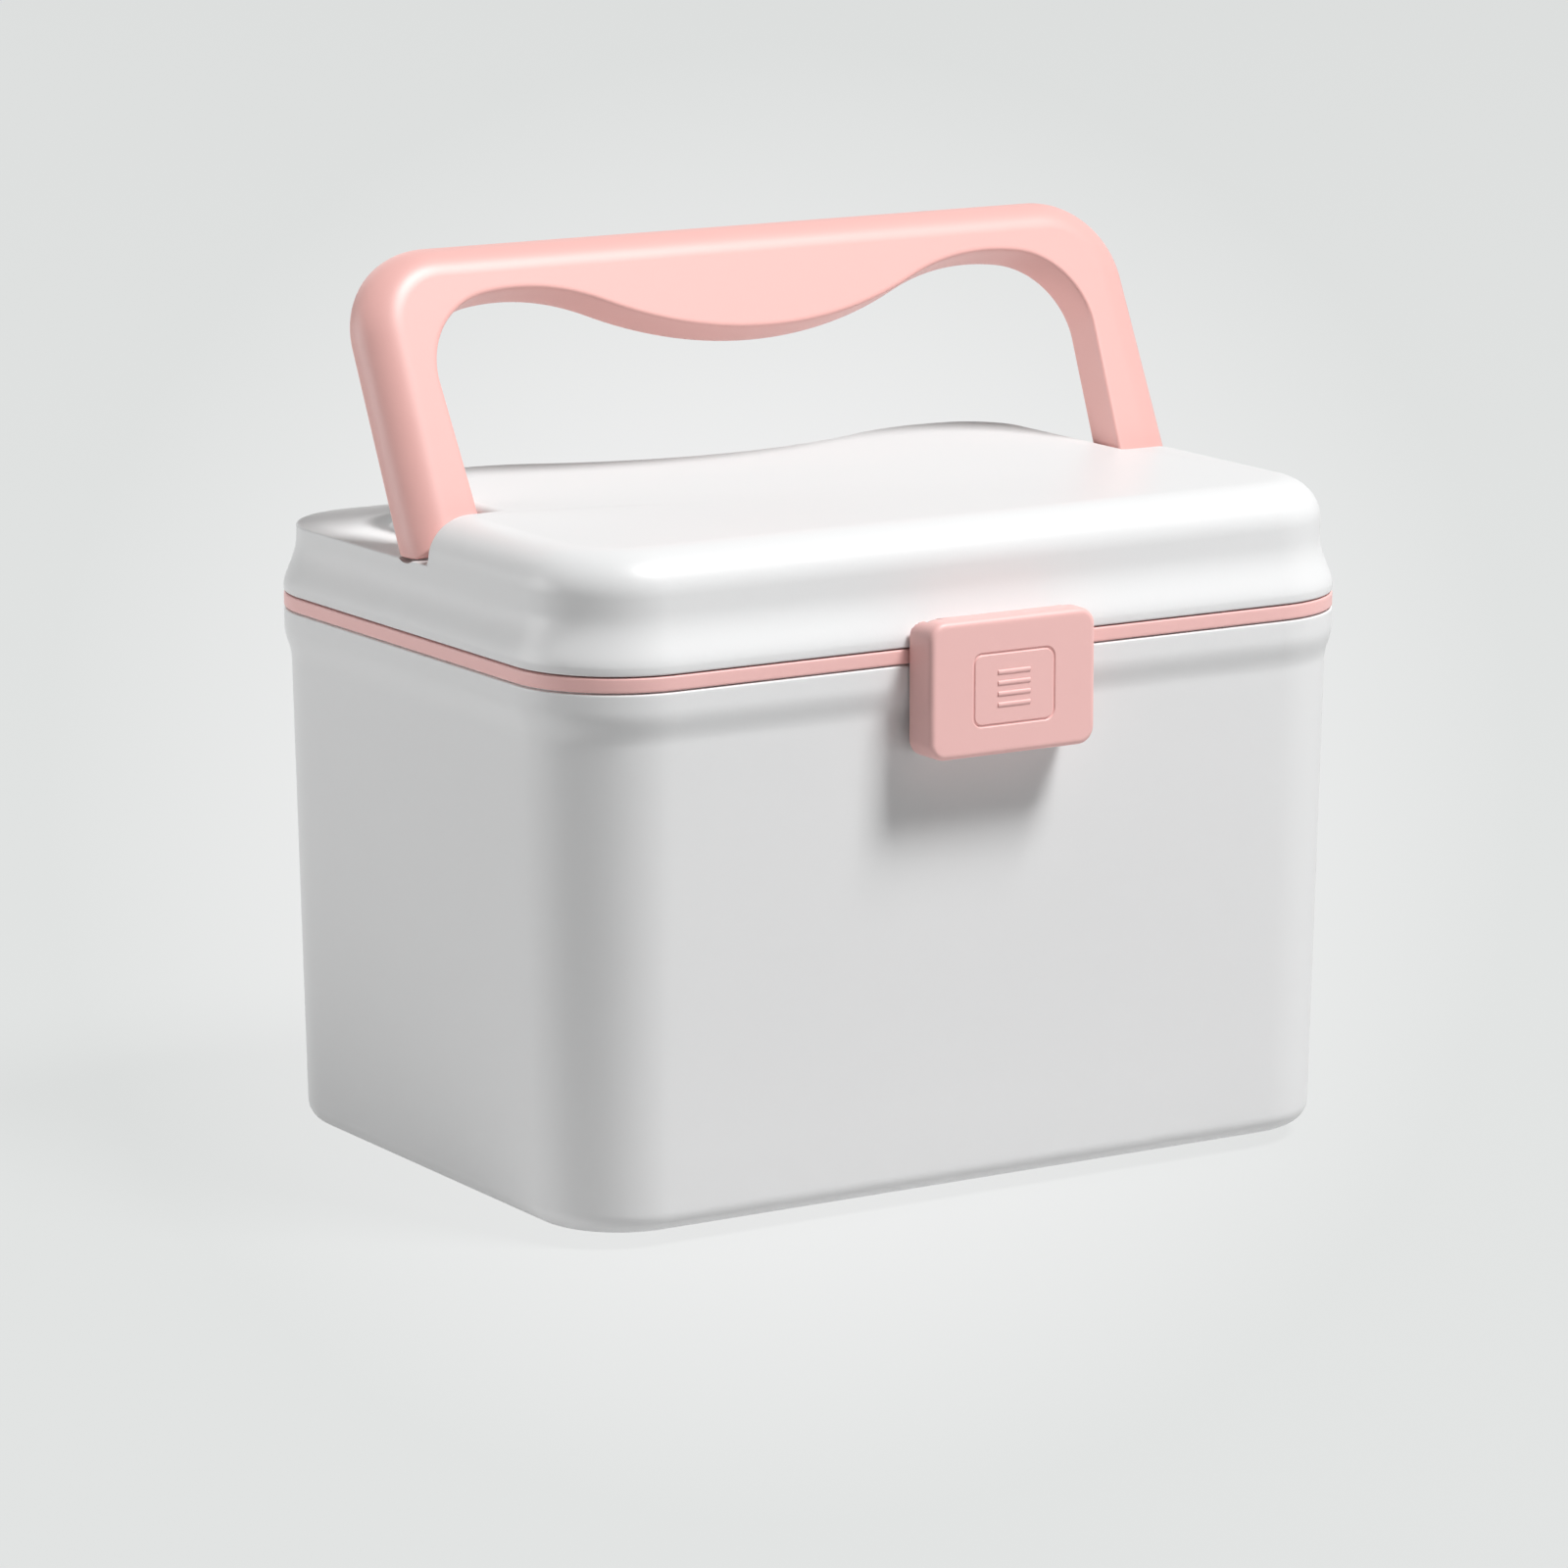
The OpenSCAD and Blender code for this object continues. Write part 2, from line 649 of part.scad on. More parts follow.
// Hollow of the latch, open to the case below its pin
module latch_hollow() {
    inner_w = latch_w - 2 * cheek_t;
    inner_h = latch_h - roof_t - latch_front_t;
    translate([-inner_w / 2, latch_face + latch_front_t, latch_top - roof_t - inner_h])
        cube([inner_w, latch_t, inner_h]);
}

// Rounds the latch's top rear edge about the pin, so that it turns past the lid
module latch_turn_round() {
    difference() {
        translate([-latch_w, latch_pin_y, latch_pin_z])
            cube([2 * latch_w, latch_turn_r + past, latch_turn_r + past]);
        translate([-latch_w - past, latch_pin_y, latch_pin_z]) rotate([0, 90, 0])
            cylinder(r = latch_turn_r, h = 2 * latch_w + 2 * past);
    }
}

// Slot in the latch's roof for a lug, hidden behind the top's edge
module lug_slot() {
    y = latch_pin_y + latch_turn_r * cos(notch_turn);
    translate([lug_x - slip, y, latch_pin_z - 2 * latch_turn_r])
        cube([lug_w + 2 * slip, latch_turn_r + past, 3 * latch_turn_r]);
}

// The hook is a ledge behind the latch's front that sits under the catch
module latch_hook() {
    tip = catch_y + hook_grip;
    top = catch_z - slip;
    front = latch_face + latch_front_t / 2;
    nose = hook_t / 2;
    along_x(0, catch_w - 2 * past)
        polygon([[front, top - hook_t - latch_front_t], [front, top], [tip, top],
                 [tip, top - hook_t + nose], [tip - nose, top - hook_t],
                 [front + latch_front_t, top - hook_t]]);
}

// A plain panel outlined by a shallow groove
module latch_badge() {
    groove = 0.5;
    depth = 0.3;
    translate([0, latch_face + depth, latch_mid_z - 0.5]) rotate([90, 0, 0])
        rim_sweep(badge_w, badge_h, badge_r,
            [[0, 0], [groove, 0], [groove, depth + past], [0, depth + past]]);
}

module carry_handle() color(pink)
    translate([0, pivot_y, pivot_z]) rotate([90 - handle_tilt, 0, 0]) {
        difference() {
            union() {
                grip_plate();
                handle_edge();
            }
            handle_hollow();
        }
        for (side = [0, 1]) mirror([side, 0, 0]) pivot_boss();
    }

// Flat middle of the handle, from its inner outline to just inside its outer edge
module grip_plate() {
    rim = front_r + lap / 2;
    half = concat(half_outline(0), [[foot_x, past], [foot_x, 0], [handle_half - rim, 0]],
        [for (a = [0:9:90]) outer_c + (outer_corner_r - rim) * dir(a)]);
    translate([0, 0, -handle_t / 2]) linear_extrude(handle_t) both_sides(half);
}

// A half outline that starts at x = 0, closed with its mirror image
module both_sides(half) {
    polygon(concat([for (i = [1:len(half) - 1]) half[i]], flipped(half)));
}

// Section of the outer edge between the rear and the front, as [inset, height]. It
// starts and ends at a given inset.
function edge_section(depth) = concat(
    [[depth, -handle_t / 2]],
    [for (a = [-90:30:0]) [rear_round * (1 - cos(a)), -handle_t / 2 + rear_round * (1 + sin(a))]],
    [for (a = [0:step_a:90]) [front_r * (1 - cos(a)), handle_t / 2 - front_r * (1 - sin(a))]],
    [[depth, handle_t / 2]]);

// Outer edge along the legs, round the corners and over the top, with the feet
module handle_edge() {
    section = edge_section(front_r + lap);
    for (side = [0, 1]) mirror([side, 0, 0]) {
        translate([0, outer_c[1]]) rotate([90, 0, 0]) linear_extrude(outer_c[1])
            polygon([for (p = section) [handle_half - p[0], p[1]]]);
        translate(outer_c) rotate_extrude(angle = 90)
            polygon([for (p = section) [outer_corner_r - p[0], p[1]]]);
        foot();
    }
    translate([-outer_c[0], 0]) rotate([90, 0, 90]) linear_extrude(2 * outer_c[0])
        polygon([for (p = section) [handle_reach - p[0], p[1]]]);
}

// The leg's section carried down to the foot's round and its level underside
module foot() {
    intersection() {
        translate([0, past, 0]) rotate([90, 0, 0]) linear_extrude(past + foot_r)
            polygon([for (p = edge_section(leg_w)) [handle_half - p[0], p[1]]]);
        rotate([0, 90, 0]) cylinder(r = foot_r, h = case_w);
        rotate([handle_tilt - 90, 0, 0]) translate([0, -foot_r, -foot_level])
            cube([case_w, 2 * foot_r, 2 * foot_r]);
    }
}

module pivot_boss() {
    translate([leg_x - plateau_gap - wall - past, 0, 0]) rotate([0, 90, 0])
        cylinder(r = boss_r, h = plateau_gap + wall + 2 * past);
}

// Moulded hollow in the handle's rear, crossed by ribs
module handle_hollow() {
    margin = 0.7 * front_r;
    half = concat(half_outline(handle_skin),
        [[foot_x + handle_skin, handle_t], [handle_half - margin, handle_t]],
        [for (a = [0:15:90]) outer_c + (outer_corner_r - margin) * dir(a)]);
    difference() {
        translate([0, 0, -handle_t / 2 - past]) linear_extrude(handle_t - handle_skin + past)
            both_sides(half);
        handle_ribs();
    }
}

module handle_ribs() {
    for (x = [0:rib_pitch:outer_c[0]]) for (side = [0, 1]) mirror([side, 0, 0])
        translate([x - rib_t / 2, arch_h - belly_h, -handle_t])
            cube([rib_t, handle_reach, 2 * handle_t]);
    for (y = [rib_pitch + handle_t:rib_pitch:arch_h]) for (side = [0, 1]) mirror([side, 0, 0])
        translate([foot_x, y - rib_t / 2, -handle_t]) cube([leg_w, rib_t, 2 * handle_t]);
}

body_shell();
rim_band();
tray();
hinge_pin(-hinge_x);  // hinge_pin_left
hinge_pin(hinge_x);  // hinge_pin_right
lid_shell();
latch_pin();
latch_flap();
carry_handle();
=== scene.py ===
import json
from math import atan2, ceil, cos, hypot, pi, radians, sin, sqrt, tan

import bmesh
import bpy
from mathutils import Matrix, Vector


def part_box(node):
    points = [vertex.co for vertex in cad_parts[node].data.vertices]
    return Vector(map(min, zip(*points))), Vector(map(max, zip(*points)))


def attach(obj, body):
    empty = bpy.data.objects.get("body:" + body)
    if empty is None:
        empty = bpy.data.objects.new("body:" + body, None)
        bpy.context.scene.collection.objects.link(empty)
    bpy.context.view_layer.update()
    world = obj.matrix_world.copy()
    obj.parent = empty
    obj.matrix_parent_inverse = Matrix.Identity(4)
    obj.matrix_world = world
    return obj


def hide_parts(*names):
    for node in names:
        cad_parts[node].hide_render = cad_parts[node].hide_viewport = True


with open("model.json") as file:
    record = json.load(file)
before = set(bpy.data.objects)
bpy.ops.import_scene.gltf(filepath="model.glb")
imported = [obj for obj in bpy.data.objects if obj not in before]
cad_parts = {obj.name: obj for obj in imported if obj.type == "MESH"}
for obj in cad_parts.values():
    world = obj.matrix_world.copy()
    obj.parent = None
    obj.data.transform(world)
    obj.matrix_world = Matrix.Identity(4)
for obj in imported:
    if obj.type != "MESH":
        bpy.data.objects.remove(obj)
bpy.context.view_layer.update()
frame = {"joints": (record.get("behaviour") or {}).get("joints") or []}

# A moulded first aid case. Sizes are in millimetres up to the last step of each
# mesh; X is the width, -Y the front with the latch, Z up from the ground.
MM = 0.001

# Distance of the points that keep the flats beside a round flat, how far a piece
# reaches into its neighbour, and the clearance between pieces that turn
HOLD = 0.5
SUNK = 1.0
GAP = 0.3

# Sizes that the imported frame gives
band_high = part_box("rim_band")[1] / MM
lid_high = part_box("lid_shell")[1] / MM
tray_low, tray_high = (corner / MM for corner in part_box("tray"))
latch_low, latch_high = (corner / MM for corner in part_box("latch_flap"))
joints = {joint["name"]: Vector(joint["pos_m"]) / MM for joint in frame["joints"]}
lid_axis, latch_axis, handle_axis = (
    joints[name] for name in ("lid_hinge", "latch_hinge", "handle_hinge"))

half_w, half_d = band_high.x, band_high.y
top_z = lid_high.z

# Case body
corner_r = 25.5
wall = 2.2
floor_t = 2.4
foot_h = 3.2
foot_w = 4.0
foot_round = 0.5
foot_inset = 21.0
body_h = 120.1
rim_h = 3.9
neck = 1.6
neck_h = 8.0
taper = 2.3
base_round = 5.0
rim_z = foot_h + body_h
rim_low = rim_z - rim_h
base_in = neck + taper + base_round
rest_t = 2.0
rest_x = 58.0

# Rim band
seam = 0.35
band_h = 3.2
tongue_h = 1.6
tongue_t = 1.3
collar = (wall + 0.2, wall + 1.8)
band_z = rim_z + seam
band_top = band_z + band_h

# Tray
tray_in = half_w - tray_high.x
tray_slope = 1.5
tray_t = 1.6
tray_r = 4.0
divider_x = 32.0
divider_y = 10.0
divider_drop = 6.0

# Lid
lid_z = band_top + seam
shelf_z = top_z - 10.6
lid_neck = 3.0
lid_rim_h = 1.6
lid_neck_h = 11.0
flare_skew = 1.3
round_w = 10.5
round_h = 9.3
skirt = (collar[1] + 0.9, collar[1] + 2.5)
skirt_low = band_top - 3.8
roof_z = shelf_z - wall
plateau_gap = 2.6
plateau_round = 3.0

# Handle, in its own plane from the pivot
tilt = radians(26)
handle_t = 10.5
handle_half = half_w - lid_neck
foot_x = handle_half - 16.4
leg_x = foot_x + 1.7
arch_h = 52.6
belly_h = 13.7
reach = arch_h + 13.0
belly_r = 99.0
arch_r = 52.5
inner_r = 19.0
outer_r = 21.0
front_round = 8.5
rear_round = 1.5
inner_edge = 0.7
channel_in = 0.7 * front_round
handle_skin = 2.4
boss_r = 2.8
foot_r = handle_t / 2 + 0.95
foot_level = handle_axis.z - shelf_z - GAP
foot_edge = 0.5

# Slots in the lid for the handle's legs, with a scoop at each pivot
slot_y = handle_axis.y - 10.0
slot_in = slot_y - wall
slot_round = 2.0
slot_roll = 0.7
slot_roll_in = 0.4
scoop_l = 22.0

# Latch
latch_w = latch_high.x - latch_low.x
latch_h = latch_high.z - latch_low.z
latch_mid = (latch_high.z + latch_low.z) / 2
latch_corner = 4.0
latch_edge = 1.3
turn_r = latch_high.z - latch_axis.z
catch_w = 28.0
catch_out = 3.2
catch_z = rim_z - 9.2
cheek_t = 2.2
face_t = 2.0
panel_z = latch_mid - 0.5
latch_pin_r = 1.0
lug_w = 2.8
lug_x = latch_w / 2 - cheek_t - GAP - lug_w
lug_r = turn_r - 1.3

# Hinges
hinge_x = 55.0
hinge_l = 30.0
leaf_l = 13.5
knuckle_r = 3.9
leaf_drop = 6.3
leaf_in = 0.4
pin_r = 1.5
run_fit = 0.08


# Meshes

def arc(centre, rx, ry, start, end, steps):
    """Points of an ellipse's arc in a plane, angles in degrees."""
    turns = [radians(start + (end - start) * i / steps) for i in range(steps + 1)]
    return [(centre[0] + rx * cos(a), centre[1] + ry * sin(a)) for a in turns]


def s_curve(in0, in1, z0, z1, steps, skew=1.0):
    """A smooth step between two insets, as (inset, height). A skew over 1 moves its
    steepest part down."""
    return [(in0 + (in1 - in0) * (1 - cos(pi * i / steps)) / 2,
             z0 + (z1 - z0) * (i / steps) ** skew) for i in range(steps + 1)]


def between(a, b, steps):
    """Points strictly between two points."""
    return [tuple(p + (q - p) * i / steps for p, q in zip(a, b)) for i in range(1, steps)]


def rounded(corners, closed=False):
    """A path of (u, v, radius) corners with its corners rounded, and a point held
    close beside each round so that the flats beside it shade flat."""
    points = [Vector(c[:2]) for c in corners]
    count = len(points)
    step = radians(18)
    ways = [(points[i - 1] - p, points[(i + 1) % count] - p) for i, p in enumerate(points)]
    cuts = []
    for i, (to_last, to_next) in enumerate(ways):
        inside = closed or 0 < i < count - 1
        half = to_last.angle(to_next) / 2 if inside else pi / 2
        cuts.append((half, corners[i][2] / tan(half) if inside and corners[i][2] else 0))
    out = []
    for i, point in enumerate(points):
        half, cut = cuts[i]
        if not cut:
            out.append(tuple(point))
            continue
        back, on = (way.normalized() for way in ways[i])
        centre = point + (back + on).normalized() * (corners[i][2] / sin(half))
        start = point + back * cut
        end = point + on * cut
        if ways[i][0].length - cut - cuts[i - 1][1] > 3 * HOLD:
            out.append(tuple(start + back * HOLD))
        turn = pi - 2 * half
        steps = max(2, ceil(turn / step))
        first = start - centre
        side = 1 if first.cross(end - centre) > 0 else -1
        for j in range(steps + 1):
            a = side * turn * j / steps
            out.append((centre.x + first.x * cos(a) - first.y * sin(a),
                        centre.y + first.x * sin(a) + first.y * cos(a)))
        if ways[i][1].length - cut - cuts[(i + 1) % count][1] > 3 * HOLD:
            out.append(tuple(end + on * HOLD))
    return out


class Skin:
    """Collects the faces of one mesh, in millimetres."""

    def __init__(self):
        self.points = []
        self.faces = []

    def rows(self, rows, closed=True):
        """Quads between rows of equally many points."""
        start = len(self.points)
        width = len(rows[0])
        for row in rows:
            self.points += row
        for i in range(len(rows) - 1):
            for j in range(width if closed else width - 1):
                a = start + i * width + j
                b = start + i * width + (j + 1) % width
                self.faces.append((a, b, b + width, a + width))

    def flat(self, ring):
        """One flat face round a ring of points."""
        start = len(self.points)
        self.points += ring
        self.faces.append(tuple(range(start, start + len(ring))))

    def block(self, shape, place, low, high):
        """A shape of (u, v) made a prism from low to high by a placing function."""
        ends = [[place(u, v, w) for u, v in shape] for w in (low, high)]
        self.rows(ends)
        self.flat(ends[0])
        self.flat(ends[1])

    def mesh(self, name, sharp=32, bevel=0):
        """The mesh in metres, merged, outward and smooth but for its sharp edges."""
        form = bmesh.new()
        corners = [form.verts.new(Vector(p) * MM) for p in self.points]
        for face in self.faces:
            form.faces.new([corners[i] for i in face])
        bmesh.ops.remove_doubles(form, verts=form.verts, dist=0.002 * MM)
        bmesh.ops.dissolve_degenerate(form, edges=form.edges, dist=0.001 * MM)
        bmesh.ops.recalc_face_normals(form, faces=form.faces)
        if bevel:
            edges = [e for e in form.edges
                     if len(e.link_faces) == 2 and e.calc_face_angle() > radians(sharp)]
            bmesh.ops.bevel(form, geom=edges, offset=bevel * MM, segments=2, profile=0.5,
                            affect="EDGES", clamp_overlap=True)
        data = bpy.data.meshes.new(name)
        form.to_mesh(data)
        form.free()
        data.shade_smooth()
        data.set_sharp_from_angle(angle=radians(sharp))
        return data


def along_x(u, v, w):
    return (w, u, v)


def bar(name, shape, low, high, bevel=0):
    """A bar along X from low to high, with a shape of (y, z)."""
    skin = Skin()
    skin.block(shape, along_x, low, high)
    return skin.mesh(name, bevel=bevel)


def piece(name, data, body, material, slot, *nodes):
    """A finished piece that rides on a body and stands for the given nodes."""
    made = bpy.data.objects.new(name, data)
    bpy.context.scene.collection.objects.link(made)
    data.materials.clear()
    data.materials.append(material)
    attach(made, body)
    if nodes:
        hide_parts(*nodes)
    return made


def outline(w, d, r, steps=24, pitch=12, marks=(), count=0):
    """Points and outward normals round a rectangle with round corners, from the
    middle of its front to the right. Marks are heights in Y that the sides keep. A
    count sets the parts of each side, in place of the pitch."""
    spans = []

    def side(start, end, normal, kept=()):
        length = hypot(end[0] - start[0], end[1] - start[1])
        parts = count or max(1, ceil(length / pitch))
        places = {i / parts for i in range(parts + 1)}
        if kept:
            places |= {(y - start[1]) / (end[1] - start[1]) for y in kept}
        for f in sorted(places):
            point = (start[0] + (end[0] - start[0]) * f, start[1] + (end[1] - start[1]) * f)
            spans.append((point, normal))

    def corner(cx, cy, start):
        for i in range(1, steps):
            a = radians(start + 90 * i / steps)
            spans.append(((cx + r * cos(a), cy + r * sin(a)), (cos(a), sin(a))))

    x, y = w / 2, d / 2
    side((0, -y), (x - r, -y), (0, -1))
    corner(x - r, r - y, -90)
    side((x, r - y), (x, y - r), (1, 0), marks)
    corner(x - r, y - r, 0)
    side((x - r, y), (r - x, y), (0, 1))
    corner(r - x, y - r, 90)
    side((-x, y - r), (-x, r - y), (-1, 0), marks)
    corner(r - x, r - y, 180)
    side((r - x, -y), (0, -y), (0, -1))
    return spans[:-1]


def ring(stations, inset, z):
    return [(p[0] - inset * n[0], p[1] - inset * n[1], z) for p, n in stations]


def loft(name, stations, section, closed=False):
    """A section of (inset, height) taken round an outline."""
    skin = Skin()
    rows = [ring(stations, inset, z) for inset, z in section]
    skin.rows(rows + rows[:1] if closed else rows)
    if not closed:
        skin.flat(rows[0])
        skin.flat(rows[-1])
    return skin.mesh(name)


def joined(name, meshes):
    """Several meshes as one."""
    form = bmesh.new()
    for data in meshes:
        form.from_mesh(data)
    made = bpy.data.meshes.new(name)
    form.to_mesh(made)
    form.free()
    return made


def half_turned(data):
    """A copy of a mesh, turned half round about the Z axis."""
    made = data.copy()
    made.transform(Matrix.Rotation(pi, 4, "Z"))
    return made


def cut(data, cutters):
    """A mesh with closed cutters taken out of it."""
    body = bpy.data.objects.new("cutting", data)
    bpy.context.scene.collection.objects.link(body)
    tool = bpy.data.objects.new("cutter", joined("cutter", cutters))
    bpy.context.scene.collection.objects.link(tool)
    change = body.modifiers.new("cut", "BOOLEAN")
    change.operation = "DIFFERENCE"
    change.object = tool
    change.solver = "EXACT"
    made = evaluated(body)
    bpy.data.objects.remove(body)
    bpy.data.objects.remove(tool)
    return made


def evaluated(made):
    """The plain mesh that an object's modifiers give."""
    graph = bpy.context.evaluated_depsgraph_get()
    graph.update()
    return bpy.data.meshes.new_from_object(made.evaluated_get(graph))


def turned(x0, x1, y, z, r, edge=0.2, steps=32):
    """A pin along X with softened ends."""
    skin = Skin()
    tip = 0.001
    section = [(x0, tip), (x0, r - edge), (x0 + edge, r), (x1 - edge, r), (x1, r - edge),
               (x1, tip)]
    rows = [[(x, y + q * cos(2 * pi * i / steps), z + q * sin(2 * pi * i / steps))
             for i in range(steps)] for x, q in section]
    skin.rows(rows)
    skin.flat(rows[0])
    skin.flat(rows[-1])
    return skin.mesh("pin")


def row_tree():
    """Copies of a mesh in a row about its own place, with one material."""
    tree = bpy.data.node_groups.new("Row of copies", "GeometryNodeTree")
    face = tree.interface
    for name, kind in (("Geometry", "Geometry"), ("Count", "Int"), ("Step", "Vector"),
                       ("Start", "Vector"), ("Material", "Material")):
        face.new_socket(name, in_out="INPUT", socket_type="NodeSocket" + kind)
    face.new_socket("Geometry", in_out="OUTPUT", socket_type="NodeSocketGeometry")
    kinds = ("NodeGroupInput", "GeometryNodeMeshLine", "GeometryNodeInstanceOnPoints",
             "GeometryNodeRealizeInstances", "GeometryNodeSetMaterial", "NodeGroupOutput")
    entry, line, copies, realize, paint, leave = (tree.nodes.new(kind) for kind in kinds)
    line.mode = "OFFSET"
    for source, out, target, into in (
            (entry, "Count", line, "Count"), (entry, "Step", line, "Offset"),
            (entry, "Start", line, "Start Location"), (line, "Mesh", copies, "Points"),
            (entry, "Geometry", copies, "Instance"), (copies, "Instances", realize, "Geometry"),
            (realize, "Geometry", paint, "Geometry"), (entry, "Material", paint, "Material"),
            (paint, "Geometry", leave, "Geometry")):
        tree.links.new(source.outputs[out], target.inputs[into])
    return tree


ROW = row_tree()


def repeated(data, count, step, material, start=(0, 0, 0)):
    """A mesh repeated in a row by the Geometry Nodes tree, as a plain mesh."""
    seed = bpy.data.objects.new("seed", data)
    bpy.context.scene.collection.objects.link(seed)
    change = seed.modifiers.new("row", "NODES")
    change.node_group = ROW
    values = {"Count": count, "Step": Vector(step) * MM, "Start": Vector(start) * MM,
              "Material": material}
    for item in ROW.interface.items_tree:
        if item.in_out == "INPUT" and item.name in values:
            change[item.identifier] = values[item.name]
    made = evaluated(seed)
    bpy.data.objects.remove(seed)
    return made


# Materials

class Socket:
    """A value in a material; arithmetic on it adds Math nodes."""

    def __init__(self, graph, link):
        self.graph = graph
        self.link = link

    def math(self, operation, a, b):
        return self.graph.node("ShaderNodeMath", {"operation": operation}, {0: a, 1: b})

    def __add__(self, other):
        return self.math("ADD", self, other)

    def __radd__(self, other):
        return self.math("ADD", other, self)

    def __sub__(self, other):
        return self.math("SUBTRACT", self, other)

    def __rsub__(self, other):
        return self.math("SUBTRACT", other, self)

    def __mul__(self, other):
        return self.math("MULTIPLY", self, other)

    def __rmul__(self, other):
        return self.math("MULTIPLY", other, self)


class Material:
    """The node tree of a material or of the world, with one method that adds any node."""

    def __init__(self, name, world=None):
        self.material = world or bpy.data.materials.new(name)
        self.material.use_nodes = True
        self.tree = self.material.node_tree
        self.tree.nodes.clear()

    def node(self, kind, settings=None, values=None, out=0):
        made = self.tree.nodes.new(kind)
        for key, value in (settings or {}).items():
            if key == "stops":
                ramp = made.color_ramp
                for stop, (place, colour) in zip(ramp.elements, value):
                    stop.position = place
                    stop.color = colour
            else:
                setattr(made, key, value)
        for key, value in (values or {}).items():
            if isinstance(value, Socket):
                self.tree.links.new(value.link, made.inputs[key])
            else:
                made.inputs[key].default_value = value
        return Socket(self, made.outputs[out]) if made.outputs else None

    def finish(self, surface):
        self.node("ShaderNodeOutputMaterial", values={"Surface": surface})
        return self.material


def moulded(name, colour, shade, roughness):
    """Satin moulded plastic: a slow cloud in its tint and gloss, and the fine grain
    of a spark-finished mould."""
    made = Material(name)
    place = made.node("ShaderNodeTexCoord", out="Object")
    cloud = made.node("ShaderNodeTexNoise", values={
        "Vector": place, "Scale": 16.0, "Detail": 3.0, "Roughness": 0.45})
    fine = made.node("ShaderNodeTexNoise", values={
        "Vector": place, "Scale": 1400.0, "Detail": 2.0, "Roughness": 0.5})
    tint = made.node("ShaderNodeMix", {"data_type": "RGBA"}, {
        0: cloud, 6: colour + (1,), 7: shade + (1,)}, out=2)
    gloss = roughness + (cloud - 0.5) * 0.08 + (fine - 0.5) * 0.05
    bump = made.node("ShaderNodeBump", values={
        "Strength": 0.35, "Distance": 0.02 * MM, "Height": fine})
    return made.finish(made.node("ShaderNodeBsdfPrincipled", values={
        "Base Color": tint, "Roughness": gloss, "IOR": 1.49, "Normal": bump}))


def drawn_steel(name):
    """Bright drawn wire with faint lengthwise lines."""
    made = Material(name)
    place = made.node("ShaderNodeTexCoord", out="Object")
    long_way = made.node("ShaderNodeMapping", values={
        "Vector": place, "Scale": (60.0, 2500.0, 2500.0)})
    lines = made.node("ShaderNodeTexNoise", values={"Vector": long_way, "Detail": 2.0})
    return made.finish(made.node("ShaderNodeBsdfPrincipled", values={
        "Base Color": (0.6, 0.61, 0.63, 1), "Metallic": 1.0,
        "Roughness": 0.22 + lines * 0.16}))


WHITE = moulded("white_satin_plastic", (0.805, 0.807, 0.808), (0.79, 0.792, 0.795), 0.36)
PINK = moulded("pink_satin_plastic", (0.84, 0.468, 0.434), (0.825, 0.458, 0.424), 0.4)
# The latch and the band use the handle's pink made lighter. This is painted light that brightens
# their faces beyond what the lamps give.
PINK_PAINTED_LIGHT = moulded("pink_satin_plastic_painted_light", (0.91, 0.545, 0.52), (0.9, 0.535, 0.51), 0.4)
MILKY = moulded("milky_tray_plastic", (0.75, 0.745, 0.735), (0.735, 0.73, 0.72), 0.45)
STEEL = drawn_steel("drawn_pin_steel")


# Case body

def base_side(inset, up):
    """The rounded base and tapering side of the body, as (inset, height)."""
    low = arc((base_in, foot_h + base_round), base_round - inset, base_round - up,
              -90, -180, 10)
    shoulder = rim_low - neck_h
    side = between(low[-1], (neck + inset, shoulder), 8)
    return low + side + s_curve(neck + inset, inset, shoulder, rim_low, 12)


def body_shell():
    rim = rounded([(0, rim_low + HOLD, 0), (0, rim_z, 0.45), (wall / 2, rim_z, 0),
                   (wall / 2, band_z, 0), (wall, band_z, 0.2), (wall, rim_low + 0.3, 0)])
    outside = base_side(0, 0)
    inside = base_side(wall, floor_t)[::-1]
    flat_in = base_in + 0.8
    section = [(flat_in, foot_h)] + outside + rim + inside + [(flat_in, foot_h + floor_t)]
    return loft("body", outline(2 * half_w, 2 * half_d, corner_r), section)


def foot_rim():
    high = foot_h + SUNK
    section = rounded([(0, 0, foot_round), (foot_w, 0, foot_round), (foot_w, high, 0),
                       (0, high, 0)], closed=True)
    stations = outline(2 * (half_w - foot_inset), 2 * (half_d - foot_inset),
                       foot_w + foot_round, steps=8, pitch=40)
    return loft("foot", stations, section, closed=True)


def catch():
    root = 0.8 * wall - half_d
    out = -half_d - catch_out
    lip = 1.4
    profile = [(root, rim_low + SUNK), (-half_d, rim_low), (out, catch_z + lip),
               (out, catch_z), (root, catch_z)]
    return bar("catch", profile, -catch_w / 2, catch_w / 2, bevel=0.25)


def tray_rest():
    """One rib against the rear wall that carries the tray."""
    slope = arc((base_in, foot_h + base_round), base_round - wall / 2,
                base_round - floor_t / 2, -90, -180, 6)
    profile = [(base_in, tray_low.z), (neck + wall / 2 + 0.8, tray_low.z)] + slope[::-1]
    profile = [(half_d - inset, z) for inset, z in profile]
    return bar("rest", profile, -rest_t / 2, rest_t / 2, bevel=0.25)


def tray_rests():
    """Two ribs at the rear and at the front, and one at each side."""
    rear = repeated(tray_rest(), 2, (2 * rest_x, 0, 0), WHITE, (-rest_x, 0, 0))
    side = tray_rest()
    side.transform(Matrix.Rotation(-pi / 2, 4, "Z"))
    side.transform(Matrix.Translation(((half_w - half_d) * MM, 0, 0)))
    return joined("rests", [rear, half_turned(rear), side, half_turned(side)])


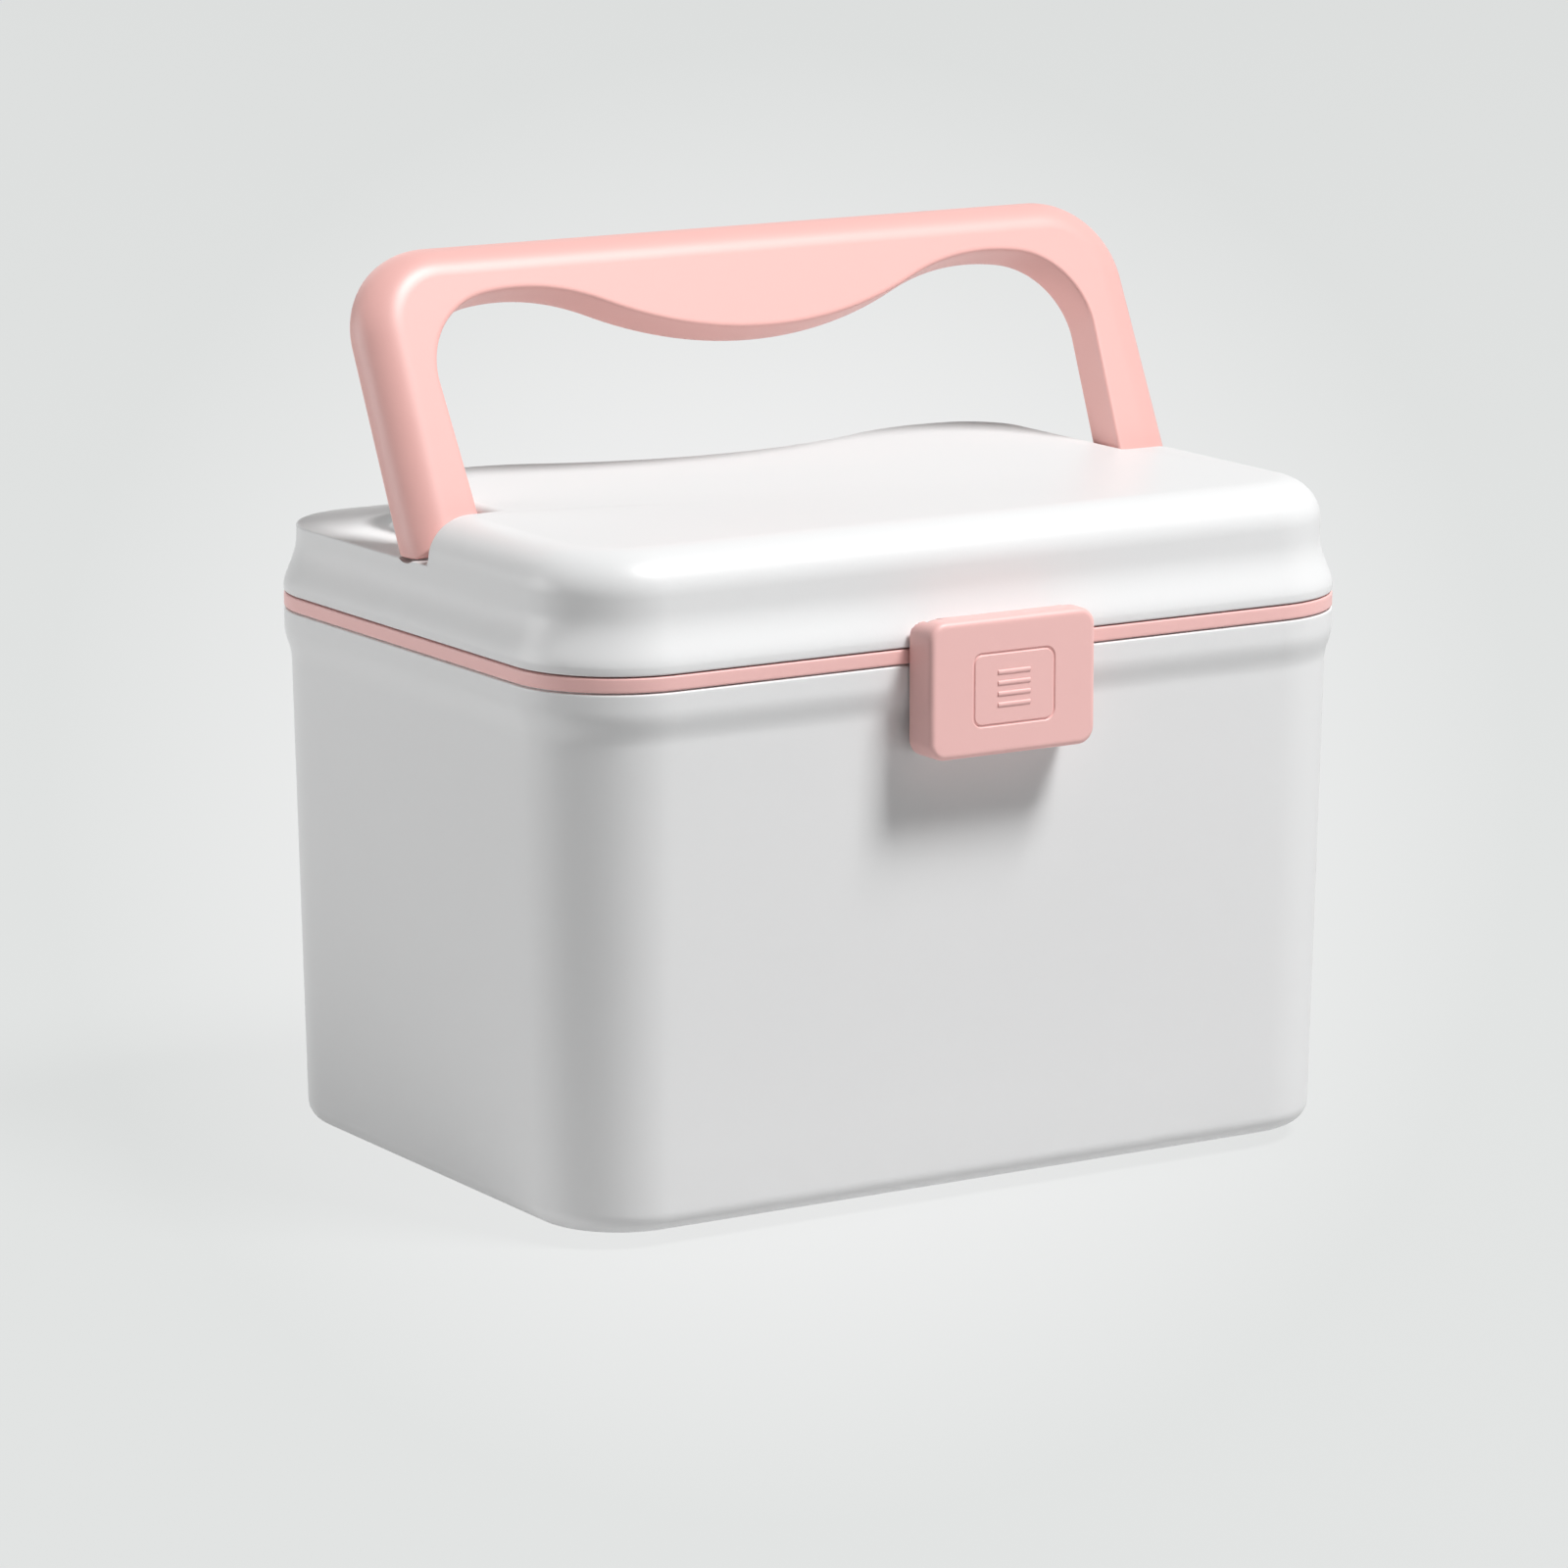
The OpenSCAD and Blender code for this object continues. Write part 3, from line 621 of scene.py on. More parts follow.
def hinge_leaf(profile, length, x):
    """A leaf with its knuckle, drawn in Y and Z from the hinge axis, and its bore."""
    profile = [(lid_axis.y + u, lid_axis.z + v) for u, v in profile]
    leaf = bar("leaf", profile, x - length / 2, x + length / 2, bevel=0.3)
    bore = turned(x - length, x + length, lid_axis.y, lid_axis.z, pin_r + run_fit, edge=0.01)
    return cut(leaf, [bore])


def body_leaves():
    inside = half_d - wall / 2 - lid_axis.y
    face = half_d - lid_axis.y
    low = rim_low - leaf_drop - lid_axis.z
    high = rim_z - leaf_in - lid_axis.z
    profile = [(inside, low), (face, low), (knuckle_r, -1)]
    profile += arc((0, 0), knuckle_r, knuckle_r, 0, 180, 20)
    profile += [(-knuckle_r, high), (inside, high)]
    outer_l = (hinge_l - leaf_l) / 2 - GAP
    reach_x = hinge_l - outer_l
    one = hinge_leaf(profile, outer_l, hinge_x - reach_x / 2)
    right = repeated(one, 2, (reach_x, 0, 0), WHITE)
    return repeated(right, 2, (-2 * hinge_x, 0, 0), WHITE)


def lid_leaves():
    low = lid_z + leaf_in - lid_axis.z
    high = lid_z + lid_rim_h + 0.4 * lid_neck_h - lid_axis.z
    face = half_d - lid_axis.y
    profile = [(face - wall / 2, low), (-knuckle_r, low)]
    profile += arc((0, 0), knuckle_r, knuckle_r, 180, 360, 20)
    profile += [(knuckle_r - 1, 2), (face, high), (face - wall, high)]
    return repeated(hinge_leaf(profile, leaf_l, hinge_x), 2, (-2 * hinge_x, 0, 0), WHITE)


piece("case_body", body_shell(), "case", WHITE, "white_plastic", "body_shell")
piece("foot_rim", foot_rim(), "case", WHITE, "white_plastic")
piece("latch_catch", catch(), "case", WHITE, "white_plastic")
piece("tray_rests", tray_rests(), "case", WHITE, "white_plastic")
piece("body_hinge_leaves", body_leaves(), "case", WHITE, "white_plastic")


# Rim band

def band_ring():
    tongue = collar[1] - tongue_t
    section = rounded([
        (0, band_z, 0.4), (collar[0], band_z, 0), (collar[0], rim_low + seam, 0.2),
        (collar[1], rim_low + seam, 0.2), (collar[1], band_top + tongue_h, 0.3),
        (tongue, band_top + tongue_h, 0.3), (tongue, band_top, 0), (0, band_top, 0.4)],
        closed=True)
    return loft("band", outline(2 * half_w, 2 * half_d, corner_r), section, closed=True)


# The band is painted lighter than the handle's pink: painted light on its face.
piece("band_ring", band_ring(), "case", PINK_PAINTED_LIGHT, "pink_plastic", "rim_band")


# Tray

def tray_bowl():
    low_in = tray_in + tray_slope
    centre = (low_in + tray_r, tray_low.z + tray_r)
    hollow_r = tray_r - tray_t
    side_z = centre[1] + 0.4
    flat_in = centre[0] + 1
    rim = rounded([(low_in, side_z, 0), (tray_in, tray_high.z, 0.5),
                   (tray_in + tray_t, tray_high.z, 0.5), (low_in + tray_t, side_z, 0)])
    section = [(flat_in, tray_low.z)] + arc(centre, tray_r, tray_r, -90, -180, 6) + rim
    section += arc(centre, hollow_r, hollow_r, -180, -90, 6)
    section.append((flat_in, tray_low.z + tray_t))
    return loft("bowl", outline(2 * half_w, 2 * half_d, corner_r, 16), section)


def tray_dividers():
    """A long divider with a raised grip, and two short ones behind it."""
    half_t = tray_t / 2
    ends = tray_in + half_t + tray_slope
    lean = 1.2
    low = tray_low.z + half_t
    high = tray_high.z - divider_drop
    grip_half, grip_foot, grip_r = 18, 26, 3
    x1, y1 = half_w - ends, half_d - ends
    long_way = [(-x1, low, 0), (x1, low, 0), (x1 + lean, high, 0), (grip_foot, high, grip_r),
                (grip_half, tray_high.z, grip_r), (-grip_half, tray_high.z, grip_r),
                (-grip_foot, high, grip_r), (-x1 - lean, high, 0)]
    skin = Skin()
    skin.block(rounded(long_way, closed=True), lambda u, v, w: (u, w, v),
               divider_y - half_t, divider_y + half_t)
    short_way = [(divider_y, low), (y1, low), (y1 + lean, high), (divider_y, high)]
    short = bar("short", short_way, -half_t, half_t, bevel=0.3)
    pair = repeated(short, 2, (2 * divider_x, 0, 0), MILKY, (-divider_x, 0, 0))
    return joined("dividers", [skin.mesh("long", bevel=0.3), pair])


piece("lift_out_tray", joined("tray", [tray_bowl(), tray_dividers()]), "case", MILKY,
      "tray_plastic", "tray")


# Pins

for side, name in ((-1, "hinge_pin_left"), (1, "hinge_pin_right")):
    pin = turned(side * hinge_x - hinge_l / 2, side * hinge_x + hinge_l / 2,
                 lid_axis.y, lid_axis.z, pin_r)
    piece(name + "_rod", pin, "case", STEEL, "pin_steel", name)
latch_rod = turned((cheek_t - latch_w) / 2, (latch_w - cheek_t) / 2, latch_axis.y,
                   latch_axis.z, latch_pin_r)
piece("latch_pin_rod", latch_rod, "lid", STEEL, "pin_steel", "latch_pin")


# Outline that the handle's opening and the lid's plateau share

def direction(degrees):
    return Vector((cos(radians(degrees)), sin(radians(degrees))))


def turns(start, end, step):
    count = ceil(abs(end - start) / step)
    return [start + (end - start) * i / count for i in range(count)]


def inner_half():
    """Right half of the handle's inner outline, as points and the directions away
    from its opening, and the place of its corner's centre."""
    belly = Vector((0, arch_h - belly_h + belly_r))
    arch = Vector((sqrt((belly_r + arch_r) ** 2 - (belly_r + arch_r - belly_h) ** 2),
                   arch_h - arch_r))
    corner_x = leg_x - inner_r
    corner = Vector((corner_x, arch.y + sqrt((arch_r - inner_r) ** 2 - (corner_x - arch.x) ** 2)))
    to_arch = arch - belly
    to_corner = corner - arch
    belly_turn = atan2(to_arch.y, to_arch.x) * 180 / pi
    arch_turn = atan2(to_corner.y, to_corner.x) * 180 / pi
    path = [(belly + belly_r * direction(a), -direction(a)) for a in turns(-90, belly_turn, 1.5)]
    path += [(arch + arch_r * direction(a), direction(a))
             for a in turns(180 + belly_turn, arch_turn, 2)]
    path += [(corner + inner_r * direction(a), direction(a)) for a in turns(arch_turn, 0, 3)]
    path.append((Vector((leg_x, corner.y)), Vector((1, 0))))
    return path, corner


INNER, INNER_CORNER = inner_half()


def mirrored(part):
    return Vector((-part.x, part.y)) if isinstance(part, Vector) else part


def both_halves(half):
    """A half's stations and their mirror images, from the right end to the left."""
    return half[::-1] + [tuple(mirrored(part) for part in station) for station in half[1:]]


# Lid

def lid_side(inset):
    """Flank of the lid above its neck and its round top, as (inset, height, out, up):
    the last two are the surface's outward direction."""
    rx, rz = round_w - inset, round_h - inset
    steps = 16
    rows = []
    for i in range(steps + 1):
        a = pi / 2 * i / steps
        out, up = Vector((cos(a) / rx, sin(a) / rz)).normalized()
        rows.append((lid_neck + round_w - rx * cos(a), top_z - round_h + rz * sin(a), out, up))
    return rows


def fade(value, start, end):
    """A smooth step from nought at the start to one at the end."""
    part = min(1.0, max(0.0, (value - start) / (end - start)))
    return part * part * (3 - 2 * part)


def parted(stations, slot, roll):
    """The stations before the slots, from the left round the front to the right, and
    those behind them, from the right round the rear to the left."""
    front = [s for s in stations if s[0][1] <= slot - roll + 1e-6 or s[1][1] < -0.01]
    middle = len(front) // 2
    front = front[middle:] + front[:middle]
    split = next(i for i in range(len(front)) if front[i - 1][0][0] > 0 > front[i][0][0])
    front = front[split:] + front[:split]
    rear = [s for s in stations if s[0][1] >= slot - 1e-6 and s not in front]
    while rear[0][0][0] < 0 or rear[-1][0][0] > 0:
        rear = rear[1:] + rear[:1]
    return front, rear


def plateau_wall(shelf, top, offset, edge_r, slot, foot):
    """Rows from the plateau's top over its round edge and down to the shelf."""
    section = [(offset - edge_r - HOLD, top)]
    section += arc((offset - edge_r, top - edge_r), edge_r, edge_r, 90, 0, 8)
    section += [(offset, top - edge_r - HOLD), (offset, shelf + foot + HOLD)]
    section += arc((offset + foot, shelf + foot), foot, foot, 180, 270, 4)
    section.append((offset + foot + HOLD, shelf))
    half = INNER + [(Vector((leg_x, y)), Vector((1, 0)))
                    for y in (INNER_CORNER.y * 2 / 3, INNER_CORNER.y / 3, slot - handle_axis.y)]
    path = both_halves(half)
    return [[(p.x + u * n.x, p.y + u * n.y + handle_axis.y, z) for p, n in path]
            for u, z in section]


def shelf_rim(rear, flank, base, shelf, slot, edge):
    """Rows from the lid's flank over the shelf's edge, whose round fades at the slots."""
    rows = [ring(rear, flank, base)]
    for a in (pi / 8 * i for i in range(5)):
        rows.append([])
        for p, n in rear:
            e = edge * fade(p[1], slot, slot + 2) if abs(n[0]) == 1 else edge
            inset, z = flank + e * (1 - cos(a)), shelf - e * (1 - sin(a))
            rows[-1].append((p[0] - inset * n[0], p[1] - inset * n[1], z))
    rows.append(ring(rear, flank + edge + HOLD, shelf))
    return rows


def lid_top(skin, stations, side, shelf, top, offset, edge_r, roll, slot, shelf_edge, foot):
    """One skin of the lid above its neck: the front's round top, the plateau, the
    slots' front walls and the shelf that the folded handle lies on."""
    flank, base = side[0][:2]
    crest = leg_x + offset - edge_r
    front, rear = parted(stations, slot, roll)
    steps = 6

    def rolled(inset, z, out, up, side_x):
        """The row's end at a slot, turned into the slot's front wall."""
        x = half_w - inset
        r = roll * fade(z, shelf, shelf + 1.5) * fade(x, crest + edge_r * 0.1, crest + edge_r)
        points = []
        for i in range(steps + 1):
            a = pi / 2 * i / steps
            back = r * (1 - cos(a))
            points.append((side_x * (x - back * out), slot - r + r * sin(a), z - back * up))
        return points

    flat_in = side[-1][0] + HOLD
    front_rows = []
    for inset, z, out, up in side + [(flat_in, top, 0, 1)]:
        row = rolled(inset, z, out, up, -1)[::-1]
        row += ring(front, inset, z) + rolled(inset, z, out, up, 1)
        front_rows.append(row)
    skin.rows(front_rows, closed=False)

    start, end = (flat_in, top), (half_w - crest + HOLD, top)
    strips = {}
    for side_x in (-1, 1):
        strip = []
        for inset, z in [start] + between(start, end, 8) + [end]:
            lead = (side_x * (half_w - inset), slot - roll, z)
            strip.append([lead] + rolled(inset, z, 0, 1, side_x))
        skin.rows(strip, closed=False)
        strips[side_x] = strip

    plateau = plateau_wall(shelf, top, offset, edge_r, slot, foot)
    skin.rows(plateau, closed=False)
    rim = shelf_rim(rear, flank, base, shelf, slot, shelf_edge)
    skin.rows(rim, closed=False)

    lip = front_rows[-1][steps + 1:-steps - 1]
    right_in = [row[0] for row in strips[1][1:]]
    left_in = [row[0] for row in strips[-1][1:]]
    crown = lip + right_in + strips[1][-1][1:-1] + plateau[0] + strips[-1][-1][1:-1][::-1]
    skin.flat(crown + left_in[::-1])

    skin.flat(rim[-1] + plateau[-1][::-1])
    for side_x, at, column in ((1, -1, 0), (-1, 0, -1)):
        tall = [row[at] for row in front_rows if row[at][2] >= shelf - 1e-6]
        over = [row[-1] for row in strips[side_x][1:]]
        down = [row[column] for row in plateau]
        skin.flat(tall + over + down[1:] + [rim[-1][column]])


def lid_shell():
    marks = [slot_y + 2, slot_y + 1, slot_y, slot_y - slot_roll, slot_in,
             slot_in - slot_roll_in]
    stations = outline(2 * half_w, 2 * half_d, corner_r, marks=marks)
    neck_z = lid_z + lid_rim_h + lid_neck_h
    flare = s_curve(0, lid_neck, lid_z + lid_rim_h, neck_z, 16, flare_skew)
    inner_base = roof_z - 0.8
    groove = [(inset + wall, z) for inset, z in flare if inset + wall < skirt[0] - 0.1]
    low = rounded([
        (skirt[1], inner_base, 0), (skirt[1], skirt_low, 0.3), (skirt[0], skirt_low, 0.3),
        (skirt[0], groove[-1][1] + 1, 0)])
    lip = rounded([(wall, lid_z + lid_rim_h - 0.3, 0), (wall, lid_z, 0.3), (0, lid_z, 0.4),
                   (0, lid_z + lid_rim_h - 0.3, 0)])
    outer_base = neck_z + 0.6
    section = low + groove[::-1] + lip + flare + [(lid_neck, outer_base)]
    skin = Skin()
    skin.rows([ring(stations, inset, z) for inset, z in section])

    outer = [(lid_neck, outer_base, 1, 0), (lid_neck, shelf_z, 1, 0),
             (lid_neck, shelf_z + 0.4, 1, 0), (lid_neck, shelf_z + 0.9, 1, 0)] + lid_side(0)
    lid_top(skin, stations, outer, shelf=shelf_z, top=top_z, offset=-plateau_gap,
            edge_r=plateau_round, roll=slot_roll, slot=slot_y, shelf_edge=0.5, foot=0.8)
    curve = [row for row in lid_side(wall) if row[0] > skirt[1] + 0.05]
    inner = [(skirt[1], inner_base, 1, 0), (skirt[1], roof_z, 1, 0),
             (skirt[1], roof_z + 0.8, 1, 0), (skirt[1], roof_z + 1.6, 1, 0)] + curve
    lid_top(skin, stations, inner, shelf=roof_z, top=top_z - wall, offset=-plateau_gap - wall,
            edge_r=0.8, roll=slot_roll_in, slot=slot_in, shelf_edge=0.4, foot=0.4)
    scoops = []
    for side_x in (-1, 1):
        middle = side_x * (half_w + foot_x) / 2
        scoops.append(turned(middle - scoop_l / 2, middle + scoop_l / 2, handle_axis.y,
                             handle_axis.z, foot_r + GAP, edge=0.01, steps=96))
    made = cut(skin.mesh("lid"), scoops)
    made.shade_smooth()
    made.set_sharp_from_angle(angle=radians(25))
    return made


def slot_fillets():
    """The rounds along the lower front corners of the slots."""
    corner = (slot_y + slot_round, shelf_z + slot_round)
    lap = 0.5
    profile = [(slot_y - lap, shelf_z - lap), (slot_y - lap, corner[1])]
    profile += arc(corner, slot_round, slot_round, 180, 270, 8)
    profile.append((corner[0], shelf_z - lap))
    inner_x = leg_x - plateau_gap - lap
    outer_x = half_w - lid_neck - lap
    skin = Skin()
    skin.block(profile, along_x, inner_x, outer_x)
    skin.block(profile, along_x, -outer_x, -inner_x)
    return skin.mesh("fillets")


def latch_lugs():
    """The lugs on the lid's front that hold the latch's pin."""
    root = wall / 2 - half_d
    low = latch_axis.z - lug_r + 0.3
    centre = (latch_axis.y, latch_axis.z)
    profile = arc(centre, lug_r, lug_r, 90, 290, 18)
    profile += [(root - wall, low), (root, low), (root, centre[1]),
                (centre[0] + lug_r, centre[1])]
    profile += arc(centre, lug_r, lug_r, 10, 80, 6)
    lug = bar("lug", profile, lug_x, lug_x + lug_w, bevel=0.2)
    return repeated(lug, 2, (-2 * lug_x - lug_w, 0, 0), WHITE)


piece("lid_cover", joined("cover", [lid_shell(), slot_fillets()]), "lid", WHITE,
      "white_plastic", "lid_shell")
piece("lid_hinge_leaves", lid_leaves(), "lid", WHITE, "white_plastic")
piece("latch_lugs", latch_lugs(), "lid", WHITE, "white_plastic")


# Handle

def handle_place(x, s, n):
    """A point of the handle's own plane, with n towards its front, in the scene."""
    return (x, handle_axis.y + s * sin(tilt) - n * cos(tilt),
            handle_axis.z + s * cos(tilt) + n * sin(tilt))


def outer_at(distance, start):
    """Point and inward direction of the outer outline, a distance past the top's
    point at x = start."""
    flat = handle_half - outer_r - start
    bend = outer_r * pi / 2
    if distance <= flat:
        return Vector((start + distance, reach)), Vector((0, -1))
    if distance < flat + bend:
        a = 90 - (distance - flat) / outer_r * 180 / pi
        centre = Vector((handle_half - outer_r, reach - outer_r))
        return centre + outer_r * direction(a), -direction(a)
    return Vector((handle_half, reach - outer_r - (distance - flat - bend))), Vector((-1, 0))


def handle_stations():
    """Right half of the handle as pairs of inner and outer points, with the depth
    of its rear channel as a share."""
    path = []
    last_flat = max(i for i, (p, n) in enumerate(INNER) if n.x <= 0 or p.x < arch_r)
    start = INNER[last_flat][0].x
    lengths = [0.0]
    for i in range(last_flat + 1, len(INNER)):
        lengths.append(lengths[-1] + (INNER[i][0] - INNER[i - 1][0]).length)
    total = handle_half - outer_r - start + outer_r * pi / 2 + reach - outer_r - INNER_CORNER.y
    for i, (p, n) in enumerate(INNER):
        if i <= last_flat:
            outer = (Vector((p.x, reach)), Vector((0, -1)))
        else:
            outer = outer_at(total * lengths[i - last_flat] / lengths[-1], start)
        path.append((p, n, *outer, 1.0))
    end = handle_t
    levels = [(s, 1.0) for s in (INNER_CORNER.y * 2 / 3, end + 4, end + 0.5, end + 0.1)]
    levels += [(end - 0.1, 0.0), (end - 0.6, 0.0), (end / 2, 0.0), (0, 0.0)]
    for s, deep in levels:
        x = foot_x + (leg_x - foot_x) * max(0, s - 1) / (INNER_CORNER.y - 1)
        path.append((Vector((x, s)), Vector((1, 0)), Vector((handle_half, s)),
                     Vector((-1, 0)), deep))
    return path


def handle_section(deep):
    """Ring of the handle's section from its inner side over the front to the rear, and
    the count of its inner points. A point is (from outer edge, distance, height,
    outward, forward), the last two being the surface's direction. The channel is as
    deep as the given share."""
    f = handle_t / 2
    outer = [(True, front_round * (1 - sin(a)), f - front_round * (1 - cos(a)), sin(a), cos(a))
             for a in (pi / 20 * i for i in range(11))]
    outer += [(True, rear_round * (1 - cos(a)), rear_round * (1 - sin(a)) - f, cos(a), -sin(a))
              for a in (pi / 6 * i for i in range(4))]
    bends = [(inner_edge * (1 - sin(a)), inner_edge * (1 - cos(a)), sin(a), cos(a))
             for a in (pi / 8 * i for i in range(5))]
    inner = [(False, d, f - h, out, front) for d, h, out, front in bends]
    inner += [(False, 0, outer[i][2], 1, 0) for i in range(5, 10)]
    inner += [(False, d, h - f, out, -front) for d, h, out, front in bends[::-1]]
    low = -f + (handle_t - handle_skin) * deep
    lip = -f + 0.2 * deep
    rear = [(True, rear_round + HOLD, -f), (True, channel_in - 0.2, -f), (True, channel_in, lip),
            (True, channel_in + 0.3, low), (False, handle_skin + 0.3, low),
            (False, handle_skin, lip), (False, handle_skin - 0.2, -f),
            (False, inner_edge + HOLD, -f)]
    front = [(False, inner_edge + HOLD, f), (True, front_round + HOLD, f)]
    return (inner[::-1] + [(*p, 0, 1) for p in front] + outer + [(*p, 0, -1) for p in rear],
            len(inner))


def foot_end(n):
    """Where a leg ends at a height of its section: on the foot's round, or on the
    level cut over the shelf."""
    return max(-sqrt(max(0.0, foot_r ** 2 - n ** 2)), -(foot_level + n * sin(tilt)) / cos(tilt))


def foot_rings(section, side_x):
    """The last rings of a leg, from its straight part round the foot's lower edge."""
    rings = []
    for i in range(-1, 5):
        a = pi / 8 * max(i, 0)
        rings.append([])
        for outer, d, n, out, front in section:
            inset = foot_edge * (1 - cos(a))
            d, n = d + inset * out, n - inset * front
            x = handle_half - d if outer else foot_x + d
            s = foot_end(n) + foot_edge * (1 - sin(a)) if i >= 0 else 0
            rings[-1].append(handle_place(side_x * x, s, n))
    return rings


def handle_shell():
    rows = []
    for p, n, q, m, deep in both_halves(handle_stations()):
        rows.append([])
        for outer, d, h, *_ in handle_section(deep)[0]:
            at = q + d * m if outer else p + d * n
            rows[-1].append(handle_place(at.x, at.y, h))
    skin = Skin()
    skin.rows(rows)
    section, count = handle_section(0.0)
    for side_x in (-1, 1):
        rings = foot_rings(section, side_x)
        skin.rows(rings)
        inner = rings[-1][:count][::-1]
        front = rings[-1][count:count + 2]
        outer = rings[-1][count + 2:2 * count + 2]
        rear = rings[-1][2 * count + 2:]
        for k in range(1, count - 2):
            skin.flat([inner[k], inner[k + 1], outer[k + 1], outer[k]])
        skin.flat([inner[1], inner[0]] + front + [outer[0], outer[1]])
        skin.flat([inner[-2], inner[-1]] + rear[::-1] + [outer[-1], outer[-2]])
    return skin.mesh("handle", sharp=40)


def handle_ribs():
    """Cross ribs in the handle's rear channel."""
    skin = Skin()
    half_t = 0.7
    pitch = 15.0
    lap = 0.6
    low, high = 0.1 - handle_t / 2, handle_t / 2 - handle_skin + 0.4

    def rib(x0, x1, s0, s1):
        skin.block([(x0, s0), (x1, s0), (x1, s1), (x0, s1)], handle_place, low, high)

    for i in range(-5, 6):
        x = i * pitch
        inner = min(INNER, key=lambda s: abs(s[0].x - abs(x)))[0].y
        rib(x - half_t, x + half_t, inner + 2 * lap, reach - channel_in + lap)
    for side_x in (-1, 1):
        for s in (pitch + handle_t, 2 * pitch + handle_t):
            near = leg_x + 2 * lap if s < INNER_CORNER.y else leg_x - lap
            far = handle_half - channel_in + lap
            rib(side_x * near, side_x * far, s - half_t, s + half_t)
    return skin.mesh("ribs", bevel=0.2)


def bosses():
    """The round bosses that turn in the plateau's side walls."""
    start = leg_x - plateau_gap - wall - SUNK
    one = turned(start, foot_x + SUNK, handle_axis.y, handle_axis.z, boss_r)
    other = half_turned(one)
    other.transform(Matrix.Translation((0, 2 * handle_axis.y * MM, 0)))
    return joined("bosses", [one, other])


piece("bail_handle", handle_shell(), "handle", PINK, "pink_plastic", "carry_handle")
piece("handle_ribs", handle_ribs(), "handle", PINK, "pink_plastic")
piece("handle_bosses", bosses(), "handle", PINK, "pink_plastic")


# Latch

def latch_shell():
    """The latch's cover, drawn from its rear edge round its face and back into its
    hollow. The section is (inset, depth from the rear edge)."""
    rear = latch_high.y
    deep = rear - latch_low.y
    panel_w, panel_h, panel_r = 21.5, 16.5, 2.5
    rear_depths = (0.3, 0.8, 1.4, 2.2, 3.0, 3.4)

    def frame_ring(w, h, r, depth, z=latch_mid):
        stations = outline(w, h, r, 10, count=6)
        return [(p[0], rear - depth, z + p[1]) for p, _ in stations]

    def level(inset, depth):
        return frame_ring(latch_w - 2 * inset, latch_h - 2 * inset,
                          max(0.4, latch_corner - inset), depth)

    def top_round(points, skin_t):
        """Keeps points inside the round that the latch's top turns on."""
        kept = []
        for x, y, z in points:
            back = max(0.0, y - latch_axis.y)
            limit = latch_axis.z + sqrt(max(0.0, turn_r ** 2 - back ** 2)) - skin_t
            kept.append((x, y, min(z, limit) if back else z))
        return kept

    skin = Skin()
    rows = [top_round(level(0.25, 0), 0)]
    for depth in rear_depths + (5.0,):
        rows.append(top_round(level(0, depth), 0))
    rows.append(level(0, deep - latch_edge - 0.4))
    for i in range(7):
        a = pi / 12 * i
        rows.append(level(latch_edge * (1 - cos(a)), deep - latch_edge * (1 - sin(a))))
    rows.append(level(latch_edge + HOLD, deep))
    groove = 0.6
    depth = 0.3
    for grow, down in ((0.5, 0), (0.12, 0), (0, 0.1), (-0.12, depth), (0.12 - groove, depth),
                       (-groove, 0.1), (-groove - 0.12, 0), (-groove - 0.6, 0)):
        rows.append(frame_ring(panel_w + 2 * grow, panel_h + 2 * grow, panel_r + grow,
                               deep - down, panel_z))
    skin.rows(rows)
    skin.flat(rows[-1])

    roof_t = 1.1
    inner = [top_round(level(cheek_t - 0.2, 0), roof_t)]
    for depth in rear_depths + (deep - face_t - HOLD,):
        inner.append(top_round(level(cheek_t, depth), roof_t))
    inner.append(top_round(level(cheek_t + HOLD, deep - face_t), roof_t))
    skin.rows([rows[0], inner[0]])
    skin.rows(inner)
    skin.flat(inner[-1])
    return skin.mesh("latch")


def lug_slots():
    """The cutter for the slots that let the latch's roof pass the lugs."""
    front = latch_axis.y + turn_r * cos(radians(98))
    rear = latch_high.y + 1
    low, high = latch_axis.z - 2, latch_high.z + 2
    skin = Skin()
    for side_x in (-1, 1):
        skin.block([(front, low), (rear, low), (rear, high), (front, high)], along_x,
                   side_x * (lug_x - GAP), side_x * (lug_x + lug_w + GAP))
    return skin.mesh("slots")


def latch_hook():
    """The ledge behind the latch's front that sits under the body's catch."""
    tip = -half_d - catch_out + 2.3
    high = catch_z - GAP
    low = high - 2.5
    bevel = 1.25
    front = latch_low.y + SUNK
    half_l = catch_w / 2 - 1
    profile = [(front, low - 2), (front, high), (tip, high), (tip, low + bevel),
               (tip - bevel, low), (front + 2, low)]
    return bar("hook", profile, -half_l, half_l, bevel=0.25)


def grip_lines():
    """Short plain ridges inside the outlined square."""
    half_l, half_h, out = 4.2, 0.55, 0.32
    count, pitch = 4, 2.4
    profile = arc((latch_low.y + 0.05, panel_z), -out, half_h, -90, 90, 8)
    ridge = bar("ridge", profile, -half_l, half_l)
    # The ridges use the lighter pink, which paints light on the latch.
    return repeated(ridge, count, (0, 0, pitch), PINK_PAINTED_LIGHT, (0, 0, -pitch * (count - 1) / 2))


# The latch's pieces are painted lighter than the handle's pink: painted light on their faces.
piece("latch_cover", cut(latch_shell(), [lug_slots()]), "latch", PINK_PAINTED_LIGHT, "pink_plastic",
      "latch_flap")
piece("latch_hook", latch_hook(), "latch", PINK_PAINTED_LIGHT, "pink_plastic")
piece("latch_grip_lines", grip_lines(), "latch", PINK_PAINTED_LIGHT, "pink_plastic")


# Floor, light and camera

# Camera, fitted to the photograph, with its focal length in the photograph's pixels
CAMERA_PLACE = Vector((-0.8214, -1.3118, 0.4006))
AZIMUTH, ELEVATION = radians(-31.8508), radians(11.6469)
CAMERA_BACK = Vector((sin(AZIMUTH) * cos(ELEVATION), -cos(AZIMUTH) * cos(ELEVATION),
                      sin(ELEVATION)))
PHOTO_PIXELS = 1600
FOCAL_PIXELS = 7050.08

